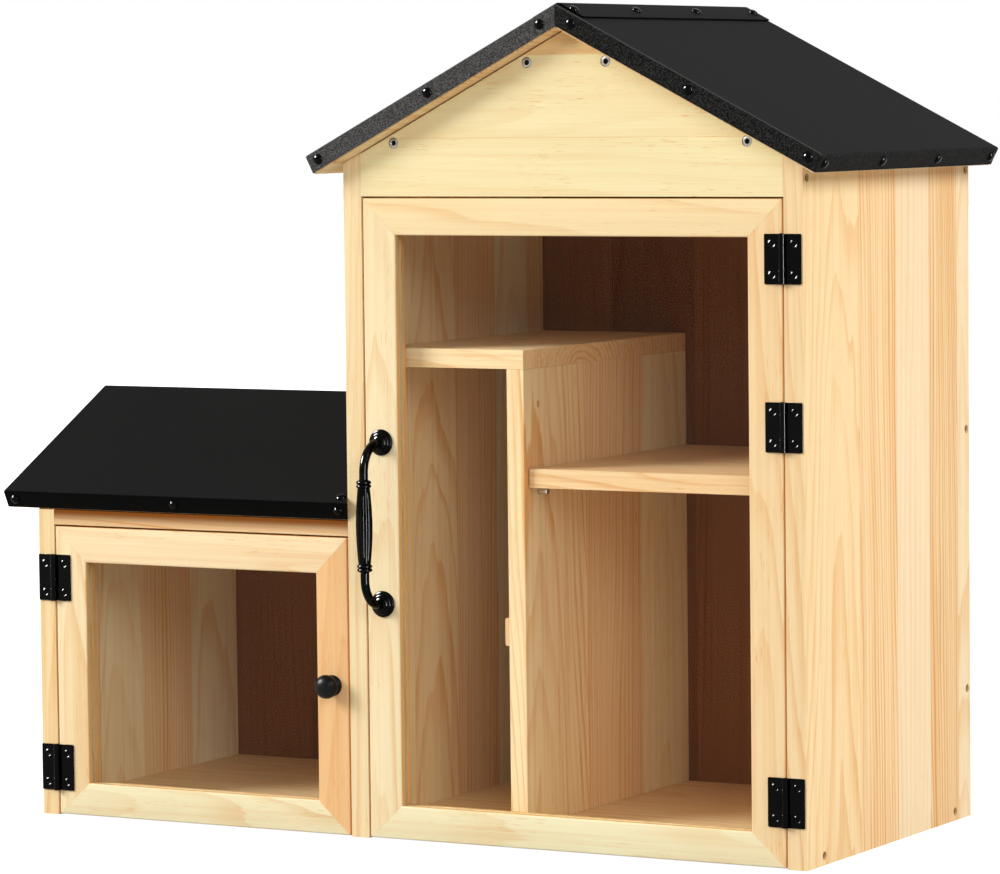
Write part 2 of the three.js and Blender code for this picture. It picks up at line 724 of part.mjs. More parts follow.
function gripBeads() {
  const bulge = handle.beadHeight / 2;
  const arcSteps = 4;
  const profile = [[0, gripHalf - overrun / 2]];
  profile.push([handle.tubeRadius, gripHalf - overrun / 2]);
  for (let bead = 0; bead < 2; bead += 1) {
    const centre = gripHalf + bulge + bead * handle.beadHeight;
    for (let step = 0; step < arcSteps; step += 1) {
      const angle = -Math.PI / 2 + Math.PI * (step / arcSteps);
      profile.push([
        handle.beadRadius - bulge + bulge * Math.cos(angle),
        centre + bulge * Math.sin(angle),
      ]);
    }
  }
  profile.push([handle.tubeRadius, gripHalf + 2 * handle.beadHeight]);
  profile.push([0, gripHalf + 2 * handle.beadHeight]);
  return turned(profile);
}

function handleArm() {
  const halfCentres = handle.centres / 2;
  const path = new THREE.CurvePath();
  const out = (y, z) => new THREE.Vector3(0, y, z);
  const bendStart = out(-handle.neck, halfCentres);
  const bendEnd = out(-handleReach, halfCentres - handle.bend);
  const pull = handle.bend * quarterArcPullShare;
  path.add(new THREE.LineCurve3(out(-handle.rosetteRim, halfCentres), bendStart));
  path.add(new THREE.CubicBezierCurve3(bendStart, out(bendStart.y - pull, halfCentres),
    out(-handleReach, bendEnd.z + pull), bendEnd));
  path.add(new THREE.LineCurve3(bendEnd, out(-handleReach, gripHalf + handle.beadHeight)));
  const circle = new THREE.Shape().absarc(0, 0, handle.tubeRadius, 0, 2 * Math.PI, false);
  return new THREE.ExtrudeGeometry(circle, {
    steps: 14, curveSegments: 6, extrudePath: path, bevelEnabled: false,
  });
}

function rosette() {
  const { rosetteRadius, rosetteRim, rosetteStepRadius, rosetteRise, tubeRadius } = handle;
  const step = rosetteRim / 2;
  return turned([
    [0, 0], [rosetteRadius, 0],
    [rosetteRadius, rosetteRim], [rosetteRadius - step, rosetteRim + step],
    [rosetteStepRadius, rosetteRim + step], [rosetteStepRadius - step, rosetteRim + 2 * step],
    [(rosetteStepRadius + tubeRadius) / 2, rosetteRise - step],
    [tubeRadius + step, rosetteRise], [0, rosetteRise],
  ]);
}

function addHandle(group, x, height) {
  const halfCentres = handle.centres / 2;
  const half = join(
    handleArm(),
    gripBeads().translate(0, -handleReach, 0),
    aimed(rosette(), front, new THREE.Vector3(0, 0, halfCentres)),
  );
  const otherHalf = half.clone().rotateY(Math.PI);
  const body = join(flutedGrip().translate(0, -handleReach, 0), half, otherHalf);
  add('pull_handle', body, ironBlack, group).position.set(x, 0, height);
}

function addKnob(group, x, height) {
  const { baseRadius, baseRise, neckRadius, headRadius, headSeat, headWidest, reach } = knob;
  const halfRise = baseRise / 2;
  const profile = [
    [0, 0], [baseRadius, 0], [baseRadius, halfRise], [baseRadius - halfRise, baseRise],
    [neckRadius, baseRise + halfRise], [neckRadius, headSeat - halfRise],
    [headRadius - baseRise, headSeat],
  ];
  const arcSteps = 6;
  const crown = reach - headWidest;
  for (let step = 0; step < arcSteps; step += 1) {
    const angle = (step / arcSteps) * (Math.PI / 2);
    profile.push([headRadius * Math.cos(angle), headWidest + crown * Math.sin(angle)]);
  }
  profile.push([0, reach]);
  const body = aimed(turned(profile), front, new THREE.Vector3(x, 0, height));
  add('door_knob', body, ironBlack, group);
}

// Magnetic catch behind a door's free stile, and the strike plate that it holds
function addCatch(prefix, doorGroup, wallX, away, z) {
  const poleFront = doorBackFace + latch.strikeThickness + fit;
  const middle = wallX + away * latch.width / 2;
  const about = (centreX, width, y0, y1, height) => (
    box(centreX - width / 2, centreX + width / 2, y0, y1, z - height / 2, z + height / 2)
  );
  const body = about(middle, latch.width, poleFront + latch.poleRise, poleFront + latch.depth, latch.height);
  const poles = [-1, 1].map((way) => (
    about(middle + way * latch.poleGap / 2, latch.poleWidth, poleFront, poleFront + latch.depth / 2,
      latch.poleHeight)
  ));
  add(`${prefix}_catch`, join(body, ...poles), plasticGrey);

  const strike = about(middle, latch.strikeWidth, doorBackFace, doorBackFace + latch.strikeThickness,
    latch.strikeHeight);
  add(`${prefix}_strike_plate`, strike, steel, doorGroup);
}

function addMainDoor() {
  const group = new THREE.Group();
  cabinet.add(group);
  const x0 = mainSideThickness + doorGap;
  const x1 = mainInnerRight - doorGap;
  const z0 = doorFloorGap;
  const z1 = mainOpeningTop - doorGap;
  const heightAt = (share) => z0 + share * (z1 - z0);
  addDoorFrame('main', group, x0, x1, z0, z1);
  addHinges('main', group, mainHingeShares.map(heightAt), mainInnerRight - doorGap / 2, -1);
  addHandle(group, x0 + doorRail / 2, heightAt(handle.heightShare));
  addCatch('main', group, mainSideThickness, 1, boardThickness + catchAboveFloor);
}

function addSmallDoor() {
  const group = new THREE.Group();
  cabinet.add(group);
  const x0 = smallInnerLeft + doorGap;
  const x1 = -doorGap;
  const z0 = doorFloorGap;
  const z1 = smallOpeningTop - doorGap;
  const heightAt = (share) => z0 + share * (z1 - z0);
  addDoorFrame('small', group, x0, x1, z0, z1);
  addHinges('small', group, smallHingeShares.map(heightAt), smallInnerLeft + doorGap / 2, 1);
  addKnob(group, x1 - doorRail / 2, heightAt(knob.heightShare));
  addCatch('small', group, 0, -1, boardThickness + catchAboveFloor);
}

addMainCabinet();
addGable();
addInterior();
addMainRoof();
addSmallCabinet();
addSmallRoof();
addMainDoor();
addSmallDoor();

// The origin goes under the middle of the whole box
const boxLeft = -smallWidth - smallEndOverhang - dome.rise;
const boxRight = mainWidth + mainEaveOverhang;
const boxFront = -handleReach - handle.gripRadius;
const boxRear = sheetRear + dome.rise;
cabinet.position.set(-(boxLeft + boxRight) / 2, -(boxFront + boxRear) / 2, 0);

export default root;
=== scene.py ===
import json
import math
from collections import namedtuple

import bmesh
import bpy
import numpy as np
from mathutils import Matrix, Quaternion, Vector

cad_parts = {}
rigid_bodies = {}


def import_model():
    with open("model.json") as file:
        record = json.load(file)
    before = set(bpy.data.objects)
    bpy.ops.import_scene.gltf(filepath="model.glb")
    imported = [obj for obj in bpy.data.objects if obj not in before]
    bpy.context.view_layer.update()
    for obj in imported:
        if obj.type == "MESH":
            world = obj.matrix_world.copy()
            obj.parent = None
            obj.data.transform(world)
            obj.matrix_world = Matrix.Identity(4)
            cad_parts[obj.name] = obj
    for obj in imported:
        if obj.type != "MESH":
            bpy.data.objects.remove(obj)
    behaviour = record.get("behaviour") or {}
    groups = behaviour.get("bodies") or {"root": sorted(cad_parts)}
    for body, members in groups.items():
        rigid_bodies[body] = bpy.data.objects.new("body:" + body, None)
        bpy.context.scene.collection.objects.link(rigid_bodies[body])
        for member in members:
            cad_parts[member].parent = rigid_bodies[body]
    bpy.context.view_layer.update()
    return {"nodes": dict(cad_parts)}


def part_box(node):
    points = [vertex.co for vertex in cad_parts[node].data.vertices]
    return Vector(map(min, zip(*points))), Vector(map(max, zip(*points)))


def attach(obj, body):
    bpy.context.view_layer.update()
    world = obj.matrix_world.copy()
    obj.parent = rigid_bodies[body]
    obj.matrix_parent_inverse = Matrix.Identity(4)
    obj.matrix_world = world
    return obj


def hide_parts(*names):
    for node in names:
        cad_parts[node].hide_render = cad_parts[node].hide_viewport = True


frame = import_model()

# Everything below is in millimetres in the cabinet's own frame, whose origin is the main cabinet's front
# lower left corner. Pieces are moved to the row frame, in metres, when they are made.
CABINET_ORIGIN = np.array([48.25, 141.4, 0.0])
MM = 0.001

MAIN_WIDTH = 400.0
MAIN_DEPTH = 310.0
SMALL_DEPTH = 290.0
ROOF_PITCH = math.radians(27.2)
SHEET_THICKNESS = 1.0
SHEET_FOLD = 15.0
SEAM_GAP = 0.3
DOOR_THICKNESS = 15.0


def linear(red, green, blue):
    """An sRGB colour, in 0 to 255, as linear numbers with alpha."""
    channels = [c / 255 for c in (red, green, blue)]
    return tuple(c / 12.92 if c <= 0.04045 else ((c + 0.055) / 1.055) ** 2.4 for c in channels) + (1.0,)


def grey(level):
    return (level, level, level, 1.0)


def node_box(name):
    """A CAD node's lowest and highest corners in the cabinet's frame."""
    low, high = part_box(name)
    return np.array(low) / MM + CABINET_ORIGIN, np.array(high) / MM + CABINET_ORIGIN


def node_middle(name):
    return sum(node_box(name)) / 2


def new_object(name, data):
    holder = bpy.data.objects.new(name, data)
    bpy.context.scene.collection.objects.link(holder)
    return holder


# Camera
def make_camera():
    """Stands where the photograph was taken from. turn is a rotation vector, in radians."""
    focal_pixels, picture_width = 4780.77, 1000
    turn = Vector((0.07317931, 0.0073914, -0.50678479))
    place = (np.array([1939.35, -3238.57, 589.50]) - CABINET_ORIGIN) * MM
    upright = Matrix(((1, 0, 0), (0, 0, -1), (0, 1, 0)))
    to_view = upright @ Quaternion(turn.normalized(), turn.length).to_matrix()
    right, down, forward = to_view
    camera = bpy.data.cameras.new("camera")
    camera.sensor_width = 36
    camera.lens = focal_pixels * camera.sensor_width / picture_width
    camera.clip_start = 0.05
    camera.clip_end = 60
    holder = new_object("camera", camera)
    turned = Matrix((right, -down, -forward)).transposed()
    holder.matrix_world = Matrix.Translation(place) @ turned.to_4x4()
    bpy.context.scene.camera = holder


# Materials
class Graph:
    """Short ways to write one node tree."""

    def __init__(self, tree):
        self.tree = tree
        tree.nodes.clear()

    def node(self, kind, inputs=None, **settings):
        """A shader node of a kind, with values or other sockets for its inputs."""
        node = self.tree.nodes.new("ShaderNode" + kind)
        for key, value in settings.items():
            setattr(node, key, value)
        for key, value in (inputs or {}).items():
            if isinstance(value, bpy.types.NodeSocket):
                self.tree.links.new(value, node.inputs[key])
            else:
                node.inputs[key].default_value = value
        return node

    def math(self, operation, *values, clamp=False):
        inputs = dict(enumerate(values))
        return self.node("Math", inputs, operation=operation, use_clamp=clamp).outputs[0]

    def product(self, first, second):
        return self.math("MULTIPLY", first, second)

    def scaled(self, value, factor, other):
        """value times factor, plus the other value."""
        return self.math("MULTIPLY_ADD", value, factor, other)

    def vector_math(self, operation, vector, other):
        return self.node("VectorMath", {0: vector, 1: other}, operation=operation).outputs[0]

    def noise(self, point, frequency, detail=2.0, roughness=0.5):
        """Noise with a frequency of its own along each axis."""
        vector = self.vector_math("MULTIPLY", point, frequency)
        inputs = {"Vector": vector, "Scale": 1.0, "Detail": detail, "Roughness": roughness}
        return self.node("TexNoise", inputs).outputs["Fac"]

    def random(self, value):
        """A number from 0 to 1 that is settled by value."""
        return self.node("TexWhiteNoise", {"W": value}, noise_dimensions="1D").outputs["Value"]

    def step(self, value, low, high, to_low=0.0, to_high=1.0):
        """Goes smoothly from to_low to to_high as value goes from low to high."""
        inputs = {"Value": value, "From Min": low, "From Max": high, "To Min": to_low, "To Max": to_high}
        return self.node("MapRange", inputs, interpolation_type="SMOOTHSTEP").outputs["Result"]

    def mix(self, factor, first, second, blend="MIX"):
        inputs = {"Factor": factor, 6: first, 7: second}
        return self.node("Mix", inputs, data_type="RGBA", blend_type=blend).outputs[2]

    def ramp(self, factor, stops):
        """Goes from colour to colour with a hard step at each stop."""
        node = self.node("ValToRGB", {"Fac": factor})
        node.color_ramp.interpolation = "CONSTANT"
        elements = node.color_ramp.elements
        while len(elements) < len(stops):
            elements.new(1.0)
        for element, (position, colour) in zip(elements, stops):
            element.position = position
            element.color = colour
        return node.outputs["Color"]

    def place(self):
        """The cabinet's own coordinates, in millimetres, carried along by the piece."""
        point = self.node("TexCoord").outputs["Object"]
        millimetres = self.vector_math("MULTIPLY", point, (1 / MM,) * 3)
        return self.vector_math("ADD", millimetres, tuple(CABINET_ORIGIN))

    def normal(self):
        """The normal's x, y and z along the piece's own axes."""
        return self.split(self.node("TexCoord").outputs["Normal"])

    def split(self, vector):
        return self.node("SeparateXYZ", {0: vector}).outputs

    def surface(self, shader):
        self.node("OutputMaterial", {"Surface": shader})

    def principled(self, bump=None, **inputs):
        """A Principled shader. bump is a height with the bump's strength and distance."""
        named = {key.replace("_", " "): value for key, value in inputs.items()}
        if bump:
            heights = dict(zip(("Height", "Strength", "Distance"), bump))
            named["Normal"] = self.node("Bump", heights).outputs[0]
        return self.node("BsdfPrincipled", named).outputs[0]


def new_material(name):
    material = bpy.data.materials.new(name)
    material.use_nodes = True
    return material, Graph(material.node_tree)


AXES = {"x": 0, "y": 1, "z": 2}
# A strip of a glued-up panel: where it starts across the panel, its colour, its pith's place across the panel
# and in depth, how far its rings are apart, how dark they are, and how much they taper along the grain
Strip = namedtuple("Strip", "start tone pith spacing contrast taper")


def wood(name, grain, across, strips, flecks=0.5, seed=0.0, edges=0.0, deepens=None):
    """Sawn softwood of one or more strips. grain and across are axes. edges darkens the long edges, which
    face
    across: painted shade, as in a gap. deepens is two places across the board, between which it turns dark
    brown: painted shade, as under an overhang."""
    material, graph = new_material(name)
    depth = ({"x", "y", "z"} - {grain, across}).pop()
    point = graph.split(graph.place())
    position, inward, along = (point[AXES[axis]] for axis in (across, depth, grain))
    strips = [Strip(*strip) for strip in strips]
    starts = [strip.start for strip in strips]
    if len(strips) == 1:
        tone = linear(*strips[0].tone)
        pith_across, pith_depth = strips[0].pith
        spacing, contrast, taper = strips[0][3:]
        offset = seed
    else:
        # A ramp with a hard step at each seam carries the numbers of the strip that a point lies in
        span = starts[-1] + 1 - starts[0]
        factor = graph.math("DIVIDE", graph.math("SUBTRACT", position, starts[0]), span)
        places = [(start - starts[0]) / span for start in starts]
        pith_reach, widest_rings = 1000.0, 20.0

        def carried(values):
            stops = [(place, (*value, 1.0)) for place, value in zip(places, values)]
            return graph.node("SeparateColor", {0: graph.ramp(factor, stops)}).outputs

        tone = graph.ramp(factor, [(place, linear(*strip.tone)) for place, strip in zip(places, strips)])
        first = carried([
            (*[(value + pith_reach) / (2 * pith_reach) for value in strip.pith], strip.spacing / widest_rings)
            for strip in strips])
        second = carried([
            (strip.contrast, strip.taper, (index * 0.37 + 0.11) % 1) for index, strip in enumerate(strips)])
        pith_across, pith_depth = (graph.scaled(first[i], 2 * pith_reach, -pith_reach) for i in (0, 1))
        spacing = graph.product(first[2], widest_rings)
        contrast, taper = second[0], second[1]
        offset = graph.scaled(second[2], 900.0, seed)

    length = graph.math("ADD", along, offset)
    grown = graph.node("CombineXYZ", {0: position, 1: inward, 2: length}).outputs[0]
    warp = graph.noise(grown, (0.017, 0.017, 0.0022))
    ripple = graph.noise(grown, (0.12, 0.12, 0.007), detail=1.0)
    off_across = graph.math("SUBTRACT", position, pith_across)
    off_depth = graph.math("SUBTRACT", inward, pith_depth)
    square = graph.math("ADD", graph.product(off_across, off_across), graph.product(off_depth, off_depth))
    distance = graph.scaled(taper, length, graph.math("SQRT", square))
    distance = graph.scaled(warp, 26.0, distance)
    distance = graph.scaled(ripple, 2.4, distance)

    # Each ring has its own width and darkness
    turns = graph.math("DIVIDE", distance, spacing)
    ring = graph.math("FRACT", turns)
    chance = graph.random(graph.math("ADD", graph.math("FLOOR", turns), seed))
    begins = graph.scaled(chance, 0.5, 0.2)
    latewood = graph.product(graph.step(ring, begins, 0.95), graph.step(ring, 0.95, 1.0, 1.0, 0.0))
    other = graph.random(graph.scaled(graph.math("FLOOR", turns), 1.7, 0.3))

    # Rings come and go along and across the board
    patches = graph.noise(grown, (0.03, 0.03, 0.003), detail=1.0)
    strength = graph.product(contrast, graph.step(patches, 0.3, 0.7, 0.5, 1.1))
    strength = graph.product(strength, graph.scaled(other, 0.9, 0.45))
    fibre = graph.noise(grown, (1.1, 1.1, 0.012), detail=3.0, roughness=0.65)
    streak = graph.noise(grown, (0.22, 0.22, 0.002))
    pores = graph.noise(grown, (1.0, 1.0, 0.055), roughness=0.6)
    pore_patches = graph.noise(grown, (0.035, 0.035, 0.009), detail=1.0)
    fleck = graph.product(graph.step(pores, 0.58, 0.7), graph.step(pore_patches, 0.45, 0.6))
    cloud = graph.noise(grown, (0.02, 0.02, 0.0045))
    normal = graph.normal()
    end_grain = graph.step(graph.math("ABSOLUTE", normal[AXES[grain]]), 0.6, 0.9)
    streaky = graph.scaled(contrast, 0.35, 0.06)

    dark = graph.product(latewood, strength)
    dark = graph.scaled(graph.step(fibre, 0.35, 0.7), 0.12, dark)
    dark = graph.scaled(graph.step(streak, 0.42, 0.72), streaky, dark)
    dark = graph.scaled(fleck, flecks, dark)
    dark = graph.scaled(graph.step(cloud, 0.35, 0.7), 0.10, dark)
    for seam in starts[1:]:
        away = graph.math("ABSOLUTE", graph.math("SUBTRACT", position, seam))
        dark = graph.scaled(graph.step(away, 0.25, 0.6, 1.0, 0.0), 0.3, dark)
    # Painted shade: the long edges that face across are darker, as in the gaps beside a door.
    if edges:
        edge = graph.step(graph.math("ABSOLUTE", normal[AXES[across]]), 0.75, 0.95)
        dark = graph.scaled(edge, edges, dark)
    dark = graph.math("MULTIPLY_ADD", end_grain, 0.22, dark, clamp=True)
    tint = graph.mix(dark, (1.0, 1.08, 1.16, 1), (0.82, 0.58, 0.35, 1))
    colour = graph.mix(1.0, tone, tint, "MULTIPLY")
    # Painted shade: between the two places the board turns dark brown, as under an overhang.
    if deepens:
        colour = graph.mix(graph.step(position, *deepens), colour, linear(132, 74, 22))
    roughness = graph.scaled(fibre, 0.16, 0.5)
    relief = graph.scaled(latewood, -0.35, fibre)
    graph.surface(graph.principled(
        Base_Color=colour, Roughness=roughness, Specular_IOR_Level=0.05, bump=(relief, 0.25, 0.00012)))
    return material


def black_sheet(name, slope_tone, fold_tone, fold_grain, rake):
    """Powder-coated sheet: fine grained on its folded edges, satin on the slopes, with a painted highlight: a
    lighter line along the bends from a slope to its rakes, which face along the axis rake. Tones are linear
    greys."""
    material, graph = new_material(name)
    point = graph.place()
    grain = graph.noise(point, (1.1, 1.1, 1.1), detail=1.0, roughness=0.6)
    fine = graph.noise(point, (2.4, 2.4, 2.4), detail=1.0)
    wide = graph.noise(point, (0.012, 0.012, 0.012))
    normal = graph.normal()
    height = graph.math("ABSOLUTE", normal[2])
    band = graph.step(height, 0.35, 0.8, 1.0, 0.0)
    slope = graph.mix(wide, grey(slope_tone), grey(1.3 * slope_tone))
    fold = graph.mix(graph.step(grain, 0.44, 0.66), grey(fold_tone), grey(fold_tone + fold_grain))
    colour = graph.mix(band, slope, fold)
    # Painted highlight: a lighter line along the bends from the slope to the rakes.
    sideways = graph.math("ABSOLUTE", normal[AXES[rake]])
    bend = graph.product(graph.step(sideways, 0.15, 0.4), graph.step(sideways, 0.7, 0.9, 1.0, 0.0))
    bend = graph.product(bend, graph.step(normal[2], 0.05, 0.25))
    colour = graph.mix(bend, colour, grey(fold_tone + 0.05))
    relief = graph.scaled(fine, 0.35, grain)
    relief = graph.product(relief, graph.scaled(band, 0.85, 0.15))
    roughness = graph.scaled(band, 0.18, 0.62)
    graph.surface(graph.principled(
        Base_Color=colour, Roughness=roughness, Specular_IOR_Level=0.03, bump=(relief, 0.5, 0.00022)))
    return material


def black_paint(name, roughness, wear, shine):
    """Painted or plated iron, with a slight orange peel."""
    material, graph = new_material(name)
    point = graph.place()
    peel = graph.noise(point, (0.55, 0.55, 0.55))
    fine = graph.noise(point, (3.0, 3.0, 3.0), detail=1.0)
    colour = graph.mix(graph.step(fine, 0.55, 0.8), grey(0.0006), grey(0.002))
    rough = graph.scaled(peel, wear, roughness - wear / 2)
    relief = graph.scaled(fine, 0.2, peel)
    graph.surface(graph.principled(
        Base_Color=colour, Roughness=rough, Specular_IOR_Level=shine, bump=(relief, 0.12, 0.0001)))
    return material


def metal(name, colour, roughness):
    """Bare or plated metal with fine turning marks."""
    material, graph = new_material(name)
    point = graph.place()
    marks = graph.noise(point, (1.2, 1.2, 5.0))
    dull = graph.noise(point, (0.35, 0.35, 0.35))
    darker = tuple(0.62 * channel for channel in colour[:3]) + (1,)
    tone = graph.mix(graph.step(dull, 0.45, 0.75), colour, darker)
    graph.surface(graph.principled(
        Base_Color=tone, Metallic=1.0, Roughness=graph.scaled(marks, 0.2, roughness - 0.1),
        bump=(marks, 0.15, 0.00006)))
    return material


def plastic():
    material, graph = new_material("catch_plastic_moulded")
    point = graph.place()
    grain = graph.noise(point, (2.2, 2.2, 2.2))
    colour = graph.mix(graph.step(grain, 0.4, 0.75), (0.045, 0.032, 0.024, 1), (0.075, 0.054, 0.041, 1))
    graph.surface(graph.principled(
        Base_Color=colour, Roughness=graph.scaled(grain, 0.15, 0.4), bump=(grain, 0.3, 0.00008)))
    return material


def clear_sheet():
    """Clear acrylic that lets light through to what is behind it. Its low IOR is that of a coated pane, which
    mirrors little."""
    material, graph = new_material("clear_pane_acrylic")
    point = graph.place()
    smear = graph.noise(point, (0.02, 0.02, 0.012), detail=3.0)
    glass = graph.principled(
        Base_Color=(0.975, 0.985, 0.98, 1), Transmission_Weight=1.0, IOR=1.12,
        Roughness=graph.step(smear, 0.45, 0.8, 0.0, 0.03))
    lamp_ray = graph.node("LightPath").outputs["Is Shadow Ray"]
    clear = graph.node("BsdfTransparent", {"Color": (0.95, 0.95, 0.95, 1)}).outputs[0]
    graph.surface(graph.node("MixShader", {0: lamp_ray, 1: glass, 2: clear}).outputs[0])
    return material


# Floor, world and lamps
def seen_rays(graph):
    """1 for rays that show the background, straight from the camera, in gloss or through a pane, but not for
    those that light a surface."""
    path = graph.node("LightPath").outputs
    straight = graph.math("MAXIMUM", path["Is Camera Ray"], path["Is Transmission Ray"])
    shown = graph.math("MAXIMUM", straight, path["Is Glossy Ray"])
    return graph.product(shown, graph.math("LESS_THAN", path["Diffuse Depth"], 0.5))


def make_floor():
    material, graph = new_material("floor_paint")
    point = graph.node("TexCoord").outputs["Object"]
    mottle = graph.noise(point, (9.0, 9.0, 9.0), detail=3.0)
    pale = graph.mix(graph.step(mottle, 0.3, 0.8), grey(0.40), grey(0.37))
    away = graph.node("VectorMath", {0: point}, operation="LENGTH").outputs["Value"]
    glow = graph.product(seen_rays(graph), graph.step(away, 0.6, 2.4, 0.9, 1.0))
    graph.surface(graph.principled(
        Base_Color=pale, Roughness=0.9, Specular_IOR_Level=0.0,
        Emission_Color=(1, 1, 1, 1), Emission_Strength=glow))
    mesh = bpy.data.meshes.new("floor")
    radii = (0.0, 0.6, 1.2, 2.4, 6.0, 20.0)
    angles = around(64)
    points = [(radius * math.cos(angle), radius * math.sin(angle), 0) for radius in radii for angle in angles]
    open_faces = ring_faces(len(radii), len(angles))[:-2]
    mesh.from_pydata(points, [], open_faces)
    mesh.materials.append(material)
    clean(mesh)
    new_object("floor", mesh)


def make_world():
    world = bpy.data.worlds.new("studio")
    bpy.context.scene.world = world
    world.use_nodes = True
    graph = Graph(world.node_tree)
    height = graph.split(graph.node("TexCoord").outputs["Generated"])[2]
    overhead = graph.step(height, 0.15, 0.9, 0.03, 0.62)
    glow = graph.node("Background", {"Color": (1, 0.88, 0.72, 1), "Strength": overhead})
    white = graph.node("Background", {"Color": (1, 1, 1, 1), "Strength": 1.0})
    mixed = graph.node("MixShader", {0: seen_rays(graph), 1: glow.outputs[0], 2: white.outputs[0]})
    graph.node("OutputWorld", {"Surface": mixed.outputs[0]})


def add_lamp(name, size, energy, matrix, gloss_of=()):
    """A rectangular lamp that shines along its own -Z. With gloss_of, it only shows in the gloss of those
    pieces. The pane's shader lets lamps through for shadow rays, so no other ray through it meets them."""
    lamp = bpy.data.lights.new(name, "AREA")
    lamp.shape = "RECTANGLE"
    lamp.size, lamp.size_y = size
    lamp.energy = energy
    holder = new_object(name, lamp)
    holder.visible_camera = False
    holder.visible_transmission = False
    if gloss_of:
        holder.visible_diffuse = False
        glossy = bpy.data.collections.new(name)
        for piece in gloss_of:
            glossy.objects.link(piece)
        holder.light_linking.receiver_collection = glossy
    holder.matrix_world = matrix
    return holder


def make_lamp(name, azimuth, elevation, size, level, distance=8.0, gloss_of=()):
    """A soft box aimed at the object. A white surface that faces a lamp of level 1 renders white."""
    turn, rise = math.radians(azimuth), math.radians(elevation)
    way = Vector((math.sin(turn) * math.cos(rise), -math.cos(turn) * math.cos(rise), math.sin(rise)))
    place = Vector((0, 0, 0.3)) + distance * way
    matrix = Matrix.Translation(place) @ way.to_track_quat("Z", "Y").to_matrix().to_4x4()
    return add_lamp(name, size, level * (math.pi * distance) ** 2, matrix, gloss_of)


def make_strip(name, start, azimuth, width, radiance, gloss_of):
    """A narrow lamp that leans away from start, a point near the pieces, from the floor up. It draws one
    upright line in their gloss."""
    near, far, height = 0.7, 2.3, 1.2
    turn = math.radians(azimuth)
    outward = Vector((math.sin(turn), -math.cos(turn), 0))
    low = Vector(start) + near * outward
    high = Vector(start) + far * outward + Vector((0, 0, height))
    along = (high - low).normalized()
    across = Vector((0, 0, 1)).cross(outward)
    back = across.cross(along)
    turned = Matrix((across, along, back)).transposed().to_4x4()
    length = (high - low).length
    energy = math.pi * radiance * width * length
    add_lamp(name, (width, length), energy, Matrix.Translation((low + high) / 2) @ turned, gloss_of)


# Shapes
def around(count):
    """Angles that share out a whole turn."""
    return 2 * math.pi * np.arange(count) / count


def ring_faces(rows, count):
    """The faces of a closed part made of rows of count points each, with both ends capped."""
    faces = []
    for start in range(0, (rows - 1) * count, count):
        for index in range(count):
            following = (index + 1) % count
            faces.append((start + index, start + following, start + count + following, start + count + index))
    faces.append(tuple(reversed(range(count))))
    faces.append(tuple(range((rows - 1) * count, rows * count)))
    return faces


def clean(mesh):
    work = bmesh.new()
    work.from_mesh(mesh)
    bmesh.ops.remove_doubles(work, verts=work.verts, dist=1e-6)
    bmesh.ops.dissolve_degenerate(work, edges=work.edges, dist=1e-7)
    bmesh.ops.recalc_face_normals(work, faces=work.faces)
    work.to_mesh(mesh)
    work.free()


def make_piece(name, points, faces, body, materials, replaced, smooth, kinds=()):
    """Makes a piece of points in millimetres, cleaned and shaded, in the row frame. Faces that meet at less
    than smooth degrees are shaded as one surface, and kinds gives the number of each face's material."""
    mesh = bpy.data.meshes.new(name)
    mesh.from_pydata(((np.array(points, float) - CABINET_ORIGIN) * MM).tolist(), [], faces)
    for material in materials:
        mesh.materials.append(material)
    if kinds:
        mesh.polygons.foreach_set("material_index", kinds)
    clean(mesh)
    mesh.shade_smooth()
    mesh.set_sharp_from_angle(angle=math.radians(smooth))
    piece = new_object(name, mesh)
    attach(piece, body)
    if replaced:
        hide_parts(*replaced)
    return piece


class Shape:
    """Gathers closed parts, in millimetres, into one mesh."""

    def __init__(self):
        self.points = []
        self.faces = []
        self.kinds = []

    def take(self, points, faces, matrix=Matrix(), kind=0):
        start = len(self.points)
        moved = np.asarray(points, float) @ np.array(matrix.to_3x3()).T + np.array(matrix.translation)
        self.points.extend(moved.tolist())
        self.faces.extend(tuple(start + index for index in face) for face in faces)
        self.kinds.extend([kind] * len(faces))

    def rings(self, rows, matrix, count, kind=0):
        """Rings of points about +Z. A row is (radius, or a radius for each point, and height). The ends are
        closed, and a radius of zero makes a point."""
        angles = around(count)
        outlines = [(np.column_stack([radius * np.cos(angles), radius * np.sin(angles)]), height)
                    for radius, height in rows]
        self.slab(outlines, matrix, kind)

    def slab(self, outlines, matrix, kind=0):
        """Closed outlines of as many points, stacked: each is (points in x and y, height)."""
        count = len(outlines[0][0])
        points = np.vstack([np.column_stack([np.array(outline), np.full(count, height)])
                            for outline, height in outlines])
        self.take(points, ring_faces(len(outlines), count), matrix, kind)

    def tube(self, path, radius):
        """A tube along a path that stays in the plane of y and z."""
        count = 28
        ways = np.gradient(path, axis=0)
        ways /= np.linalg.norm(ways, axis=1)[:, None]
        side = np.array([1.0, 0.0, 0.0])
        angles = around(count)
        points = []
        for centre, way in zip(path, ways):
            up = np.cross(way, side)
            points.append(centre + radius * (np.outer(np.cos(angles), side) + np.outer(np.sin(angles), up)))
        self.take(np.vstack(points), ring_faces(len(path), count))

    def make(self, name, body, slot, materials, replaced=(), smooth=35):
        return make_piece(name, self.points, self.faces, body, materials, replaced, smooth, self.kinds)


def facing(way, place, roll=0.0):
    """The matrix that turns +Z to a direction, after a roll about it, and moves it to a place."""
    turn = Vector((0, 0, 1)).rotation_difference(Vector(way))
    return Matrix.Translation(Vector(place)) @ turn.to_matrix().to_4x4() @ Matrix.Rotation(roll, 4, "Z")


def arc(centre, radii, start, end, count):
    """Points on an arc, between two angles in degrees. radii is one radius, or an ellipse's two."""
    angles = np.radians(np.linspace(start, end, count))
    first, second = np.broadcast_to(radii, 2)
    return list(zip(centre[0] + first * np.cos(angles), centre[1] + second * np.sin(angles)))


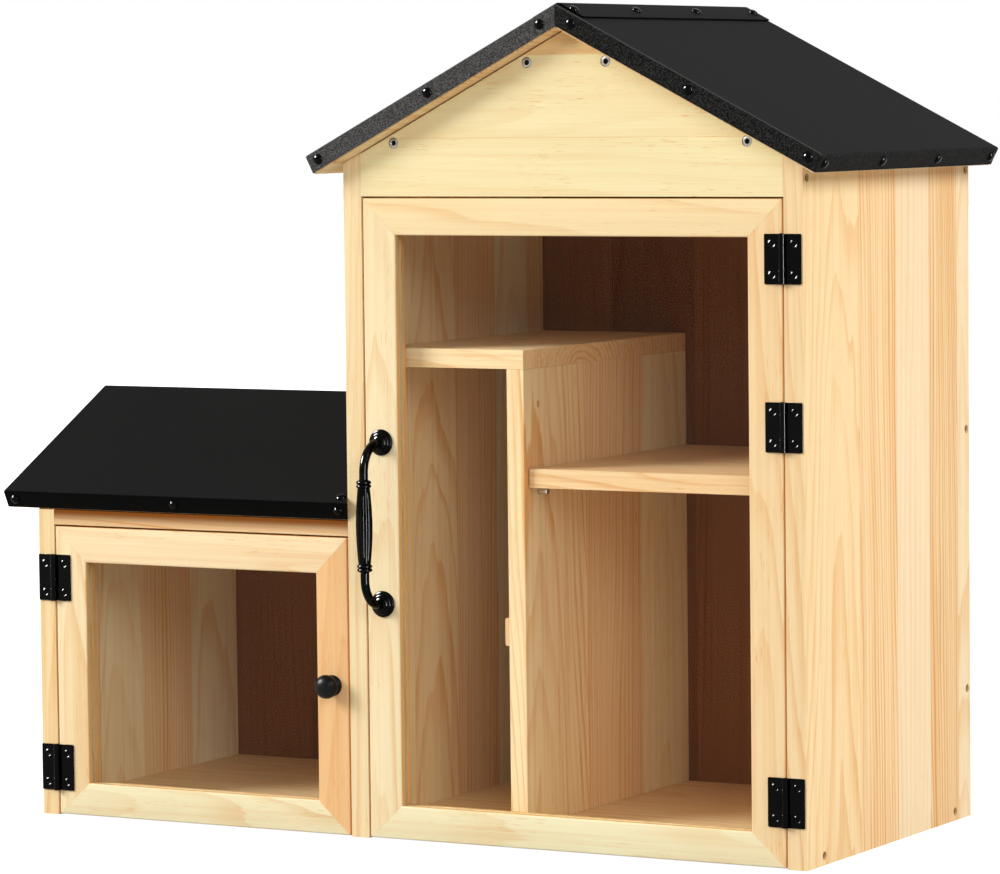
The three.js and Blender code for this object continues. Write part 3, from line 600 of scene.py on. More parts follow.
def rounded(width, height, radius):
    """A rectangle about the origin with round corners."""
    points = []
    for turn, (x, y) in enumerate(((1, 1), (-1, 1), (-1, -1), (1, -1))):
        centre = (x * (width / 2 - radius), y * (height / 2 - radius))
        points += arc(centre, radius, 90 * turn, 90 * turn + 90, 5)
    return points


def block(shape, first, last, bevel, matrix=Matrix(), kind=0):
    """A box between two opposite corners, with round upright edges and chamfered top and bottom edges."""
    first, last = np.array(first, float), np.array(last, float)
    wide, deep, tall = np.abs(last - first)
    small = rounded(wide - 2 * bevel, deep - 2 * bevel, bevel)
    large = rounded(wide, deep, 2 * bevel)
    half = tall / 2
    rows = [(small, -half), (large, bevel - half), (large, half - bevel), (small, half)]
    shape.slab(rows, matrix @ Matrix.Translation((first + last) / 2), kind)


CROSS_COUNT = 40


def cross_outline(length, half_width):
    """The radius of a cross-shaped recess at each of CROSS_COUNT angles."""
    angles = np.abs((around(CROSS_COUNT) + math.pi / 4) % (math.pi / 2) - math.pi / 4)
    return np.minimum(length / np.cos(angles), half_width / np.maximum(np.sin(angles), 1e-6))


def cross_screw(shape, matrix, radius, rise=0.3, dished=False):
    """A screw head with a cross recess, its rim at height zero. A dished one lies within a low raised lip."""
    recess = cross_outline(radius * 0.56, radius * 0.18)
    if dished:
        rim = [(radius + 0.45, -0.3), (radius + 0.45, 0.02), (radius + 0.3, 0.2), (radius - 0.25, 0.01),
               (radius * 0.84, rise * 0.3)]
    else:
        rim = [(radius * 0.8, -0.6), (radius, -0.02), (radius, rise * 0.5), (radius * 0.93, rise * 0.9)]
    top = [(radius * 0.72, rise), (recess, rise), (recess * 0.8, rise - radius * 0.3),
           (0.0, rise - radius * 0.45)]
    shape.rings(rim + top, matrix, CROSS_COUNT)


def dome_head(shape, way, place):
    """The domed head of a roof screw on a sheet's face, which faces way."""
    radius, rise, sink = 4.0, 2.5, 0.4
    lip = 0.12 * rise
    foot = [(0.0, -sink), (radius * 0.97, -sink), (radius, 0.0)]
    shape.rings(foot + arc((0, lip), (radius, rise - lip), 0, 90, 10), facing(way, place), 36)


# Wooden pieces
def modify(piece, kind, **settings):
    modifier = piece.modifiers.new(kind.lower(), kind)
    for key, value in settings.items():
        setattr(modifier, key, value)


def round_arrises(node, bevel):
    """Rounds a CAD board's arrises a little, without touching its mesh."""
    modify(node, "WELD", merge_threshold=1e-5)
    modify(node, "DECIMATE", decimate_type="DISSOLVE", angle_limit=math.radians(1))
    modify(node, "BEVEL", width=bevel * MM, segments=3, limit_method="ANGLE", angle_limit=math.radians(40))
    modify(node, "WEIGHTED_NORMAL", keep_sharp=False)


def dress(name, material):
    """Puts a material on a CAD node and gives the node back."""
    node = frame["nodes"][name]
    if not node.material_slots:
        node.data.materials.append(material)
    for holder in node.material_slots:
        holder.material = material
    return node


def dress_board(name, grain, across, strips, bevel=0.5, **sawn):
    round_arrises(dress(name, wood("pine_" + name, grain, across, strips, **sawn)), bevel)


# Colours of the boards' strips
CREAM = (252, 234, 196)
PALE = (252, 229, 183)
YELLOW = (253, 232, 178)
STRAW = (251, 219, 168)
PEACH = (247, 209, 158)
TAN = (243, 202, 152)
SHADE = (246, 206, 154)
# Dark browns for the back boards are painted shade: they make the cabinets' insides look shaded.
PAINTED_SHADE_BROWN = (142, 90, 48)
PAINTED_SHADE_UMBER = (128, 79, 42)


def dress_boards():
    right_strips = [
        (0, (251, 218, 167), (70, 320), 6.5, 0.42, 0.05),
        (99, (249, 213, 163), (-40, 330), 5.0, 0.8, 0.02),
        (168, (251, 222, 181), (520, 330), 9.0, 0.22, 0.01),
        (231, (244, 208, 158), (60, 345), 4.2, 1.0, 0.02),
        (285, (248, 221, 179), (298, 345), 7.0, 0.45, 0.06),
    ]
    dress_board("main_right_side", "z", "y", right_strips, bevel=0.8, flecks=0.35, seed=40)
    left_strips = [
        (0, (253, 225, 175), (-50, 60), 6.0, 0.35, 0.03),
        (76, STRAW, (110, 75), 6.5, 0.55, 0.06),
        (148, PEACH, (400, 60), 4.5, 0.6, 0.02),
        (214, CREAM, (260, 80), 8.0, 0.3, 0.05),
        (270, STRAW, (-80, 60), 5.0, 0.5, 0.02),
    ]
    dress_board("main_left_side", "z", "y", left_strips, bevel=0.8, flecks=0.4, seed=311)
    small_left_strips = [
        (0, (253, 221, 167), (-60, -250), 5.5, 0.5, 0.02),
        (64, PALE, (95, -230), 7.0, 0.4, 0.06),
        (130, PEACH, (360, -240), 4.8, 0.6, 0.02),
        (205, CREAM, (245, -225), 8.5, 0.35, 0.06),
    ]
    dress_board("small_left_side", "z", "y", small_left_strips, bevel=0.8, flecks=0.4, seed=127)
    # The top strip, which lies under the rakes, has a darker tone: painted shade.
    gable_strips = [
        (500, YELLOW, (460, 60), 9.0, 0.12, 0.03),
        (554.7, YELLOW, (600, 90), 10.0, 0.16, 0.05),
        (618.3, (251, 214, 152), (700, 60), 8.0, 0.15, 0.02),
    ]
    dress_board("gable_panel", "x", "z", gable_strips, flecks=0.65, seed=77)
    # The back boards are dark brown as painted shade for the inside.
    back_strips = [
        (0, PAINTED_SHADE_BROWN, (-40, 240), 6.0, 0.5, 0.03),
        (82, PAINTED_SHADE_UMBER, (110, 250), 8.0, 0.5, 0.07),
        (158, PAINTED_SHADE_BROWN, (480, 260), 5.0, 0.6, 0.02),
        (240, PAINTED_SHADE_UMBER, (285, 255), 8.0, 0.4, 0.06),
        (322, PAINTED_SHADE_BROWN, (60, 260), 5.0, 0.6, 0.02),
    ]
    dress_board("main_back", "z", "x", back_strips, seed=901)
    # Dark brown again, as painted shade inside the small cabinet.
    small_back_strips = [
        (-290, PAINTED_SHADE_BROWN, (-340, 250), 6.0, 0.5, 0.03),
        (-205, PAINTED_SHADE_UMBER, (-170, 245), 8.0, 0.5, 0.06),
        (-110, PAINTED_SHADE_BROWN, (120, 250), 5.0, 0.5, 0.02),
    ]
    dress_board("small_back", "z", "x", small_back_strips, seed=655)
    floor_strips = [
        (0, PALE, (40, -60), 6.0, 0.4, 0.05),
        (90, STRAW, (300, -50), 5.0, 0.5, 0.02),
        (190, PEACH, (215, -80), 7.0, 0.4, 0.06),
    ]
    dress_board("main_floor", "x", "y", floor_strips, seed=21)
    dress_board("small_floor", "x", "y", floor_strips, seed=521)
    dress_board("left_shelf", "x", "y", [(0, STRAW, (120, 350), 5.0, 0.55, 0.03)], seed=350)
    dress_board("right_shelf", "x", "y", [(0, PEACH, (90, 250), 4.5, 0.55, 0.03)], seed=93)
    divider_strips = [
        (0, STRAW, (30, 60), 5.5, 0.6, 0.05),
        (120, PEACH, (300, 80), 4.5, 0.5, 0.02),
        (215, PALE, (250, 60), 7.0, 0.4, 0.05),
    ]
    dress_board("main_divider", "z", "y", divider_strips, seed=444)
    dress_board("divider_block", "z", "x", [(0, TAN, (110, 30), 3.0, 0.6, 0.02)], bevel=0.4, seed=5)
    # The header turns dark brown towards its top: painted shade under the small roof's overhang.
    base = node_box("small_header")[0][2]
    dress_board("small_header", "x", "z", [(0, SHADE, (180, 40), 5.0, 0.5, 0.02)], bevel=0.4, seed=61,
                deepens=(base, base + 11))
    main_roof_strips = [
        (-30, STRAW, (60, 480), 6.0, 0.5, 0.03),
        (90, PEACH, (-200, 520), 5.0, 0.55, 0.02),
        (200, STRAW, (260, 500), 6.5, 0.5, 0.05),
        (320, PALE, (500, 520), 5.5, 0.5, 0.02),
    ]
    dress_board("main_roof_board_left", "y", "x", main_roof_strips, seed=150)
    dress_board("main_roof_board_right", "y", "x", main_roof_strips, seed=830)
    small_roof_strips = [
        (-20, PEACH, (-60, 200), 5.0, 0.55, 0.03),
        (75, STRAW, (60, 180), 7.0, 0.45, 0.05),
        (160, PALE, (330, 190), 6.0, 0.5, 0.02),
        (230, STRAW, (260, 190), 6.5, 0.5, 0.05),
    ]
    dress_board("small_roof_board_front", "x", "y", small_roof_strips, seed=230)
    dress_board("small_roof_board_back", "x", "y", small_roof_strips, seed=77)


def door_section(width):
    """A door member's section: (how far in from the outer edge, depth behind the door's face)."""
    outer, inner, rear = 1.1, 1.5, 0.8
    groove_front, groove_rear, groove_depth = 5.7, 9.3, 6.3
    back = DOOR_THICKNESS - rear
    groove = [(width, groove_front), (width - groove_depth, groove_front),
              (width - groove_depth, groove_rear), (width, groove_rear)]
    return [
        *arc((outer, outer), outer, 180, 270, 5), *arc((width - inner, inner), inner, 270, 360, 5), *groove,
        *arc((width - rear, back), rear, 0, 90, 5), *arc((rear, back), rear, 90, 180, 5),
    ]


def door_member(prefix, part, outer, inner, material):
    """A mitred member between an outer line and an inner line, each given by its two ends in x and z."""
    outer, inner = np.array(outer, float), np.array(inner, float)
    width = abs(np.cross(outer[1] - outer[0], inner[0] - outer[0])) / np.linalg.norm(outer[1] - outer[0])
    section = door_section(width)
    points = []
    for end in (0, 1):
        for inset, depth in section:
            x, z = outer[end] + (inner[end] - outer[end]) * inset / width
            points.append((x, depth, z))
    body = f"{prefix}_door"
    make_piece(f"{prefix}_{part}_board", points, ring_faces(2, len(section)), body, [material],
               [f"{body}_{part}"], smooth=30)


def make_door(prefix, tones, seeds):
    """The door's mitred members, a little shy of the CAD's door, with a hair between them at the mitres."""
    shy, hair = 0.4, 0.05
    parts = ("stile_left", "stile_right", "rail_top", "rail_bottom")
    left, right, top, bottom = (node_box(f"{prefix}_door_{part}") for part in parts)
    x0, x1 = left[0][0] + shy, right[1][0] - shy
    z0, z1 = bottom[0][2], top[1][2] - shy
    inner_x0, inner_x1 = left[1][0], x1 - (left[1][0] - x0)
    inner_z0, inner_z1 = bottom[1][2], top[0][2]
    lines = [
        ([(x0, z0 + hair), (x0, z1 - hair)], [(inner_x0, inner_z0 + hair), (inner_x0, inner_z1 - hair)]),
        ([(x1, z0 + hair), (x1, z1 - hair)], [(inner_x1, inner_z0 + hair), (inner_x1, inner_z1 - hair)]),
        ([(x0 + hair, z1), (x1 - hair, z1)], [(inner_x0 + hair, inner_z1), (inner_x1 - hair, inner_z1)]),
        ([(x0 + hair, z0), (x1 - hair, z0)], [(inner_x0 + hair, inner_z0), (inner_x1 - hair, inner_z0)]),
    ]
    for part, (outer, inner), tone, seed in zip(parts, lines, tones, seeds):
        upright = part.startswith("stile")
        grain, across = ("z", "x") if upright else ("x", "z")
        middle = (outer[0][0] + inner[0][0]) / 2 if upright else (outer[0][1] + inner[0][1]) / 2
        sawn = [(0, tone, (middle + seed % 37 - 18, 28 + seed % 23), 5.0 + seed % 3, 0.3, 0.035)]
        # The doors' long edges get painted shade, as in the gaps beside them.
        material = wood(f"pine_{prefix}_{part}", grain, across, sawn, flecks=0.55, seed=seed, edges=0.9)
        door_member(prefix, part, outer, inner, material)


# Roof sheets
# How far along a fold its first screws are from the sheet's corners and from the ridge
END_SCREW_INSET = 10.0
RIDGE_SCREW_INSET = 19.0


class Slope:
    """Points of a roof section: away from the ridge plane, and up."""

    def __init__(self, ridge_height, length):
        self.ridge_height = ridge_height
        self.length = length
        self.sin, self.cos, self.tan = math.sin(ROOF_PITCH), math.cos(ROOF_PITCH), math.tan(ROOF_PITCH)

    def down(self, along, depth):
        return (along * self.cos - depth * self.sin, self.ridge_height - along * self.sin - depth * self.cos)

    def ridge(self, offset, depth):
        return (offset, self.ridge_height - offset * self.tan - depth / self.cos)


def make_sheet(name, points, faces, material, replaced, bend=1.6):
    """A folded sheet, drawn by its outer faces."""
    piece = make_piece(name, points, faces, "cabinet", [material], replaced, smooth=50)
    middle = Vector((np.mean(points, axis=0) - CABINET_ORIGIN) * MM)
    first = piece.data.polygons[0]
    if first.normal.dot(first.center - middle) < 0:
        piece.data.flip_normals()
    modify(piece, "BEVEL", width=bend * MM, segments=4, limit_method="ANGLE", angle_limit=math.radians(20))
    modify(piece, "SOLIDIFY", thickness=SHEET_THICKNESS * MM, offset=-1, use_even_offset=True)
    modify(piece, "WEIGHTED_NORMAL", keep_sharp=False)


def make_main_roof(paint):
    front, rear = -17.0, MAIN_DEPTH + 5.0
    ridge_height, eave_overhang = 656.61, 25.0
    slope = Slope(ridge_height, (MAIN_WIDTH / 2 + eave_overhang) / math.cos(ROOF_PITCH))
    ridge_x = MAIN_WIDTH / 2
    half_seam = SEAM_GAP / 2
    top = -SEAM_GAP - SHEET_THICKNESS
    cap_flange, cap_front_inset, cap_rear_inset, left_row_inset = 24.0, 5.5, 1.5, 15.0
    # The sheets share one powder coat, but the left sheet's folds are lighter than the right's: a painted
    # sheen.
    coats = {
        "left": black_sheet("black_sheet_left_painted_sheen", 0.002, 0.04, 0.09, "y"),
        "right": black_sheet("black_sheet_right", 0.002, 0.006, 0.03, "y"),
    }
    screws = Shape()
    y_places = np.linspace(front + END_SCREW_INSET, rear - END_SCREW_INSET, 4)
    left_row = np.linspace(y_places[0] + left_row_inset, y_places[-1] - left_row_inset, 4)
    cap_places = {"left": left_row, "right": y_places}
    for name, side in (("left", -1), ("right", 1)):
        corners = [slope.ridge(half_seam, 0), slope.down(slope.length, 0),
                   slope.down(slope.length, SHEET_FOLD), slope.ridge(half_seam, SHEET_FOLD)]
        points = [(ridge_x + side * away, y, z) for y in (front, rear) for away, z in corners]
        faces = [(0, 1, 5, 4), (1, 2, 6, 5), (0, 3, 2, 1), (4, 5, 6, 7)]
        make_sheet(f"main_sheet_{name}", points, faces, coats[name], [f"main_roof_sheet_{name}"])
        for along in np.linspace(RIDGE_SCREW_INSET, slope.length - END_SCREW_INSET, 3):
            away, z = slope.down(along, SHEET_FOLD / 2)
            x = ridge_x + side * away
            dome_head(screws, (0, -1, 0), (x, front, z))
            dome_head(screws, (0, 1, 0), (x, rear, z))
        away, z = slope.down(slope.length, SHEET_FOLD / 2)
        for y in y_places:
            dome_head(screws, (side * slope.cos, 0, -slope.sin), (ridge_x + side * away, y, z))
        away, z = slope.down(cap_flange / 2, top)
        for y in cap_places[name]:
            dome_head(screws, (side * slope.sin, 0, slope.cos), (ridge_x + side * away, y, z))
    screws.make("main_roof_screws", "cabinet", "black_iron", [paint])

    edge = slope.down(cap_flange, top)
    crest = slope.ridge(0, top)
    points = []
    for y in (front + cap_front_inset, rear - cap_rear_inset):
        points += [(ridge_x - edge[0], y, edge[1]), (ridge_x, y, crest[1]), (ridge_x + edge[0], y, edge[1])]
    cap_faces = [(0, 1, 4, 3), (1, 2, 5, 4)]
    make_sheet("ridge_cap_sheet", points, cap_faces, coats["right"], ["ridge_cap"], bend=2.0)


def make_small_roof(paint):
    left, right = -326.0, -0.3
    ridge_height, fold_clearance = 345.38, 1.1
    overhang = SHEET_FOLD * math.sin(ROOF_PITCH) + fold_clearance
    slope = Slope(ridge_height, (SMALL_DEPTH / 2 + overhang) / math.cos(ROOF_PITCH))
    ridge_y = SMALL_DEPTH / 2
    corners = []
    for side, order in ((-1, (SHEET_FOLD, 0)), (1, (0, SHEET_FOLD))):
        corners += [(ridge_y + side * away, z) for away, z in (slope.down(slope.length, d) for d in order)]
    low_front, high_front, high_back, low_back = corners
    crest = (ridge_y, slope.ridge(0, 0)[1])
    crest_low = (ridge_y, slope.ridge(0, SHEET_FOLD)[1])
    outline = [low_front, high_front, crest, high_back, low_back, crest_low]
    points = [(x, y, z) for x in (left, right) for y, z in outline]
    # In front of the main cabinet the sheet goes on a little, to lap its edge
    low_lap, high_lap, clear = 0.5, 4.4, 0.4
    points[6] = (right + low_lap, *low_front)
    points[7] = (right + high_lap, *high_front)
    points.append((right, -clear, slope.ridge(ridge_y + clear, 0)[1]))
    faces = [(0, 1, 7, 6), (1, 2, 8, 12, 7), (2, 3, 9, 8), (3, 4, 10, 9), (0, 5, 2, 1), (5, 4, 3, 2)]
    # The small sheet's folds are darker than the main sheets': painted shade.
    coat = black_sheet("black_sheet_small_painted_shade", 0.005, 0.0004, 0.002, "x")
    make_sheet("small_sheet", points, faces, coat, ["small_roof_sheet"])
    screws = Shape()
    right_inset, eave_inset = 6.0, 9.0
    for side in (-1, 1):
        away, z = slope.down(slope.length, SHEET_FOLD / 2)
        for x in np.linspace(left + END_SCREW_INSET, right - right_inset, 3):
            dome_head(screws, (0, side * slope.cos, -slope.sin), (x, ridge_y + side * away, z))
        for along in np.linspace(RIDGE_SCREW_INSET, slope.length - END_SCREW_INSET, 3):
            away, z = slope.down(along, SHEET_FOLD / 2)
            dome_head(screws, (-1, 0, 0), (left, ridge_y + side * away, z))
        away, z = slope.down(slope.length - eave_inset, 0)
        place = (right - right_inset, ridge_y + side * away, z)
        dome_head(screws, (0, side * slope.sin, slope.cos), place)
    return screws.make("small_roof_screws", "cabinet", "black_iron", [paint])


# Hinges
HINGE_HEIGHT = 38.0
HINGE_REACH = 15.3
HINGE_LEAF = 1.4
KNUCKLE_RADIUS = 2.6
# How far the lower and upper screw of each leaf is turned, so that its cross catches the light
FIXED_SCREW_TURNS = (0.09, 0.3)
MOVING_SCREW_TURNS = (0.05, 0.74)


def hinge_leaf(side, knuckles, matrix, rolls):
    """Half a butt hinge about its pin, with its leaf behind the pin on one side."""
    shape = Shape()
    near = KNUCKLE_RADIUS + 0.2
    back = 2.7
    front = back - HINGE_LEAF
    wide = HINGE_REACH - near
    outline = rounded(wide, HINGE_HEIGHT, 0.9)
    inner = rounded(wide - 0.5, HINGE_HEIGHT - 0.5, 0.65)
    upright = Matrix.Rotation(math.pi / 2, 4, "X")
    plate = matrix @ Matrix.Translation((side * (near + HINGE_REACH) / 2, back, 0)) @ upright
    shape.slab([(outline, 0), (outline, HINGE_LEAF - 0.25), (inner, HINGE_LEAF)], plate)
    # A thin web along the leaf's back reaches in behind the pin
    half = HINGE_HEIGHT / 2 - 0.1
    block(shape, (side * 1.5, back - 0.3, -half), (side * (near + 0.6), back, half), 0.05, matrix)
    radius, rim = KNUCKLE_RADIUS, 0.25
    for low, high in knuckles:
        block(shape, (0, front, low), (side * (near + 1.2), back, high), 0.12, matrix)
        rows = [(radius - rim, low), (radius, low + rim), (radius, high - rim), (radius - rim, high)]
        shape.rings(rows, matrix, 36)
    screw_out, screw_inset, screw_radius = 9.15, 7.2, 2.9
    for way, roll in zip((-1, 1), rolls):
        place = (side * screw_out, front, way * (HINGE_HEIGHT / 2 - screw_inset))
        cross_screw(shape, matrix @ facing((0, -1, 0), place, roll), screw_radius, dished=True)
    return shape


def make_hinges(paint):
    half = HINGE_HEIGHT / 2
    lower_knuckle, upper_knuckle, joint = 10.2, 8.4, 0.3
    frame_knuckles = [(-half, lower_knuckle - half), (half - upper_knuckle, half)]
    door_knuckles = [(lower_knuckle - half + joint, half - upper_knuckle - joint)]
    pin_rows = [(1.8, -half), (2.2, 0.4 - half), (2.2, half - 0.1), (2.0, half - 0.05), (2.0, half + 0.25),
                (1.6, half + 0.45), (0.9, half + 0.5)]
    for prefix, count, door_side in (("main", 3, -1), ("small", 2, 1)):
        for number in range(1, count + 1):
            x, y, _ = node_middle(f"{prefix}_hinge_pin_{number}")
            base = node_box(f"{prefix}_hinge_pin_{number}")[0][2]
            place = Matrix.Translation((x, y, base + half))
            fixed = hinge_leaf(-door_side, frame_knuckles, place, FIXED_SCREW_TURNS)
            moving = hinge_leaf(door_side, door_knuckles, place, MOVING_SCREW_TURNS)
            pin = Shape()
            pin.rings(pin_rows, place, 28)
            for shape, made, body, node in (
                (fixed, "fixed", "cabinet", "frame_leaf"),
                (moving, "moving", f"{prefix}_door", "door_leaf"),
                (pin, "axle", "cabinet", "pin"),
            ):
                shape.make(f"{prefix}_hinge_{made}_{number}", body, "black_iron", [paint],
                           [f"{prefix}_hinge_{node}_{number}"])


# Handle and knob
def make_handle(paint):
    """A bow handle with a fluted grip between beads, on two turned roses."""
    x, _, middle = node_middle("pull_handle")
    centres, neck, bend, tube = 128.0, 6.0, 22.0, 3.5
    reach = neck + bend
    half = centres / 2
    grip_half, bead = 30.0, 3.0
    thin, thick, flutes, flute_depth = 4.9, 6.7, 12, 0.45
    shape = Shape()
    grip = Matrix.Translation((x, -reach, middle))
    count = 144
    flute = np.abs(np.sin(flutes / 2 * around(count))) ** 0.8
    rows = []
    for share in np.linspace(0, 1, 41):
        swell = math.sin(math.pi * share)
        radius = thin + (thick - thin) * swell ** 0.9
        depth = flute_depth * min(1.0, swell * 2.2)
        rows.append((radius - depth * (1 - flute), grip_half * (2 * share - 1)))
    shape.rings(rows, grip, count)

    bead_rows = [(3.2, grip_half - 1.5)]
    bulge = bead / 2
    for centre in (grip_half + bulge, grip_half + 3 * bulge):
        bead_rows += arc((6.0 - bulge, centre), (bulge, 0.97 * bulge), -90, 90, 9)
    beads_end = grip_half + 2 * bead
    bead_rows += [(4.0, beads_end + 0.3), (tube, beads_end + 0.9)]
    path = [(0, -1.0, half), (0, -neck * 0.5, half)]
    path += [(0, y, z) for z, y in arc((half - bend, -neck), (bend, -bend), 0, 90, 17)]
    path += [(0, -reach, half - bend - 2), (0, -reach, beads_end - 0.5)]
    rose_rows = [(10.0, 0.0), (10.4, 0.3), (10.4, 1.2), (9.9, 1.9), (9.0, 2.25), (8.5, 2.3), (8.35, 3.0),
                 (7.7, 3.7), (6.9, 4.1), (6.3, 4.2), (5.9, 4.9), (4.9, 5.6), (3.9, 6.0), (3.5, 6.1)]
    for end in (-1, 1):
        shape.rings(bead_rows, grip @ Matrix.Scale(end, 4, (0, 0, 1)), 48)
        shape.tube(np.array(path) * (1, 1, end) + (x, 0, middle), tube)
        shape.rings(rose_rows, facing((0, -1, 0), (x, 0, middle + end * half)), 56)
    return shape.make("pull_handle_cast", "main_door", "black_iron", [paint], ["pull_handle"], smooth=50)


def make_knob(paint):
    x, _, z = node_middle("door_knob")
    rows = [(7.9, 0.0), (8.3, 0.3), (8.4, 1.4), (8.1, 2.3), (7.3, 2.9), (6.3, 3.4), (5.7, 4.1), (5.6, 5.0),
            (6.0, 5.9), (7.0, 6.6), (8.3, 7.4), (9.1, 8.4), (9.5, 9.6), (9.6, 10.9), (9.3, 12.5), (8.5, 14.2),
            (7.1, 15.8), (5.3, 17.0), (3.3, 17.7), (1.5, 17.95), (0.0, 18.0)]
    shape = Shape()
    shape.rings(rows, facing((0, -1, 0), (x, 0, z)), 64)
    return shape.make("door_knob_turned", "small_door", "black_iron", [paint], ["door_knob"], smooth=50)


# Screws, shelf pins and catches
def hexagon(apothem, count):
    """A hexagon's radius at each of count angles."""
    return apothem / np.cos((around(count) + math.pi / 6) % (math.pi / 3) - math.pi / 6)


def make_gable_screws(steel, dark):
    """Screws with a hexagon socket, lined with a second, dark material, which is painted shade in the socket.
    """
    count = 48
    socket = hexagon(1.75, count)
    for number in range(1, 5):
        x, _, z = node_middle(f"gable_screw_{number}")
        top = -node_box(f"gable_screw_{number}")[0][1]
        shape = Shape()
        matrix = facing((0, -1, 0), (x, 0, z), 0.3 * number)
        rows = [
            (1.9, -12.0), (1.9, -3.0), (3.7, -3.0), (3.9, -2.8), (3.9, -0.5), (3.75, -0.15), (3.4, 0),
            (2.3, 0), (socket + 0.15, -0.3), (socket + 0.15, -2.2), (0.0, -2.2),
        ]
        shape.rings([(radius, top + height) for radius, height in rows], matrix, count)
        # Painted shade: the socket's lining is dark.
        rows = [(socket + 0.1, -2.15), (socket + 0.1, -0.35), (socket - 0.05, -0.35), (socket - 0.1, -1.9),
                (0.0, -2.1)]
        shape.rings([(radius, top + height) for radius, height in rows], matrix, count, kind=1)
        shape.make(f"gable_socket_screw_{number}", "cabinet", "bright_steel", [steel, dark],
                   [f"gable_screw_{number}"])


def make_side_screws(zinc):
    """Cross-head screws on the floors of the counterbores in the side panels' outer faces."""
    bore_depth, head, radius = 2.5, 0.6, 3.1
    low, high = 7.5, 523.49
    from_back, from_corner = 6.0, 31.5
    rear = MAIN_DEPTH - from_back
    main_places = [(rear, 104.4), (rear, 314.9), (rear, high), (from_corner, low),
                   (MAIN_DEPTH - from_corner, low), (7.5, high)]
    rear = SMALL_DEPTH - from_back
    small_places = [(rear, 60.5), (rear, 216.9), (from_corner, low), (SMALL_DEPTH - from_corner, low)]
    small_left = node_box("small_left_side")[0][0]
    faces = [(MAIN_WIDTH, 1, main_places), (0.0, -1, main_places), (small_left, -1, small_places)]
    shape = Shape()
    for face, way, places in faces:
        for index, (y, z) in enumerate(places):
            matrix = facing((way, 0, 0), (face - way * (bore_depth - head), y, z), 0.7 * index)
            cross_screw(shape, matrix, radius)
    shape.make("side_screws", "cabinet", "bright_steel", [zinc])


def make_pins(steel):
    collar = 8.0
    for number in range(1, 5):
        low, high = node_box(f"shelf_pin_{number}")
        _, y, z = node_middle(f"shelf_pin_{number}")
        start, into = (high[0], -1) if number <= 2 else (low[0], 1)
        length = high[0] - low[0]
        shape = Shape()
        shape.rings([
            (2.4, 0.0), (2.9, 0.4), (3.0, 0.9), (3.0, collar - 0.6), (2.8, collar - 0.3), (2.5, collar - 0.3),
            (2.5, length - 0.6), (2.0, length),
        ], facing((into, 0, 0), (start, y, z)), 32)
        shape.make(f"shelf_support_{number}", "cabinet", "bright_steel", [steel], [f"shelf_pin_{number}"])


def make_catches(moulded, steel):
    """Magnetic catches with two pole plates each, and their strike plates."""
    case_setback, pole_place, pole_half, pole_depth, pole_reach = 0.8, 2.5, 1, 11, 13
    for prefix in ("main", "small"):
        low, high = node_box(f"{prefix}_catch")
        x, _, z = node_middle(f"{prefix}_catch")
        shape = Shape()
        block(shape, low + (0, case_setback, 0), high, 0.7)
        for centre in (x - pole_place, x + pole_place):
            block(shape, (centre - pole_half, low[1], z - pole_reach),
                  (centre + pole_half, low[1] + pole_depth, z + pole_reach), 0.2, kind=1)
        shape.make(f"{prefix}_magnet_catch", "cabinet", "catch_plastic", [moulded, steel],
                   [f"{prefix}_catch"])
        low, high = node_box(f"{prefix}_strike_plate")
        x, _, z = node_middle(f"{prefix}_strike_plate")
        plate = Shape()
        block(plate, low, high, 0.3)
        cross_screw(plate, facing((0, 1, 0), (x, high[1] - 0.2, z), 0.5), 2.4, rise=0.25)
        plate.make(f"{prefix}_strike", f"{prefix}_door", "bright_steel", [steel], [f"{prefix}_strike_plate"])


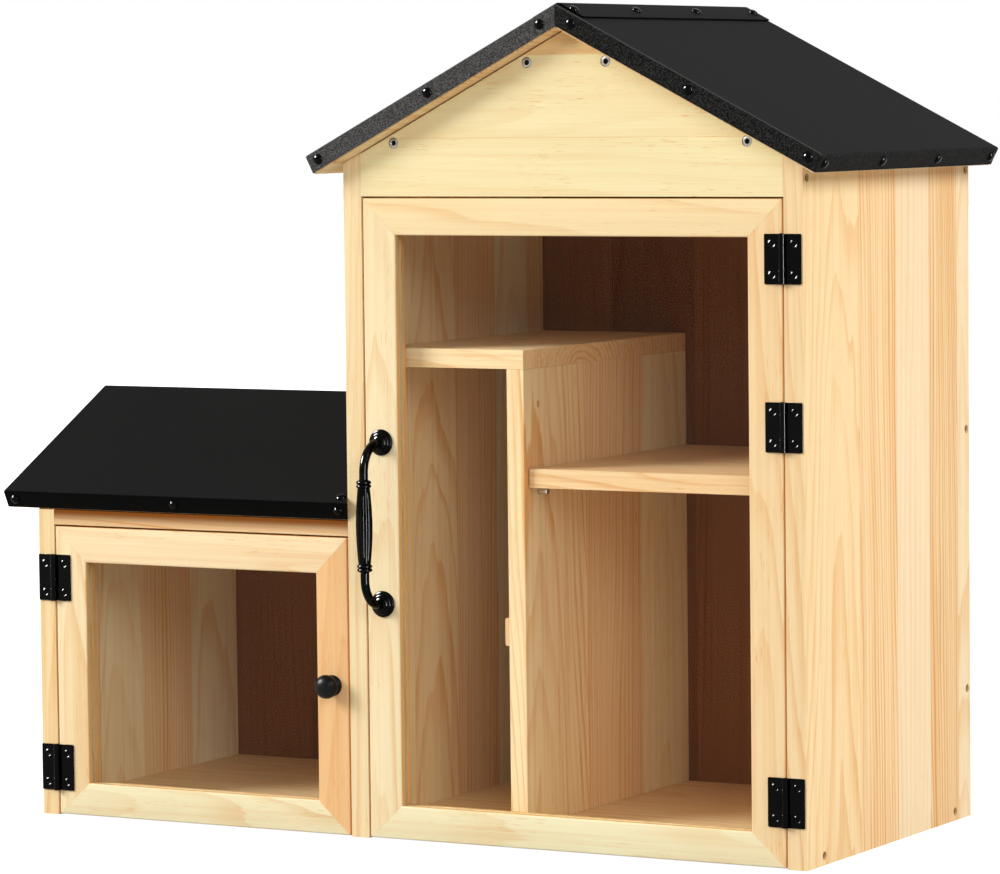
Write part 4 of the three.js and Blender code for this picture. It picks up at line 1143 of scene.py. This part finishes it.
make_camera()
make_floor()
make_world()
make_lamp("key", azimuth=-50, elevation=27, size=(3.6, 3.6), level=0.82)
make_lamp("fill", azimuth=93, elevation=32, size=(4.0, 4.0), level=0.64)
make_lamp("front", azimuth=42, elevation=22, size=(3.0, 3.0), level=0.25)
rear_lamp = make_lamp("rear", azimuth=200, elevation=28, size=(4.0, 4.0), level=0.5)
rear_lamp.visible_glossy = False

dress_boards()
make_door("main", ((254, 230, 184), (253, 218, 166), (252, 223, 171), (255, 239, 195)), (12, 47, 83, 131))
make_door("small", ((255, 232, 186), (252, 200, 141), (255, 225, 178), (255, 238, 194)), (171, 215, 262, 309))
paint = black_paint("black_iron_gloss", 0.11, 0.04, 0.045)
enamel = black_paint("black_iron_enamel", 0.05, 0.02, 0.045)
satin = black_paint("black_iron_satin", 0.34, 0.1, 0.12)
bright = metal("bright_steel_plate", (0.74, 0.74, 0.75, 1), 0.28)
ring = metal("screw_nickel", (0.34, 0.33, 0.31, 1), 0.34)
zinc = metal("screw_zinc", (0.30, 0.20, 0.11, 1), 0.42)
moulded = plastic()
make_main_roof(paint)
small_screws = make_small_roof(paint)
make_hinges(paint)
handle = make_handle(enamel)
knob = make_knob(satin)
make_gable_screws(ring, satin)
make_side_screws(zinc)
make_pins(bright)
make_catches(moulded, bright)
for name in ("main_door_pane", "small_door_pane"):
    dress(name, clear_sheet())

iron = [piece for piece in bpy.data.objects if paint.name in [s.name for s in piece.material_slots]]
hinges = [piece for piece in iron if "_hinge_" in piece.name]
make_strip("handle_strip", start=(0.0, -0.17, 0.0), azimuth=66, width=0.1, radiance=230, gloss_of=[handle])
for name, azimuth, elevation, size, level, distance, pieces in (
    ("side_strip", 87, 11.6, (0.4, 2.0), 6.0, 3.4, iron),
    ("glint", -60, 30, (1.6, 1.6), 16, 5.0, iron + [handle]),
    ("knob_glint", -60, 30, (1.6, 1.6), 2.3, 5.0, [knob]),
    ("low_glint", -45, 5, (1.2, 1.2), 9, 5.0, [small_screws]),
    ("hinge_glint", -62, 16, (2.4, 1.6), 14, 5.2, hinges),
):
    make_lamp(name, azimuth, elevation, size, level, distance, pieces)

scene = bpy.context.scene
scene.view_settings.view_transform = "Standard"
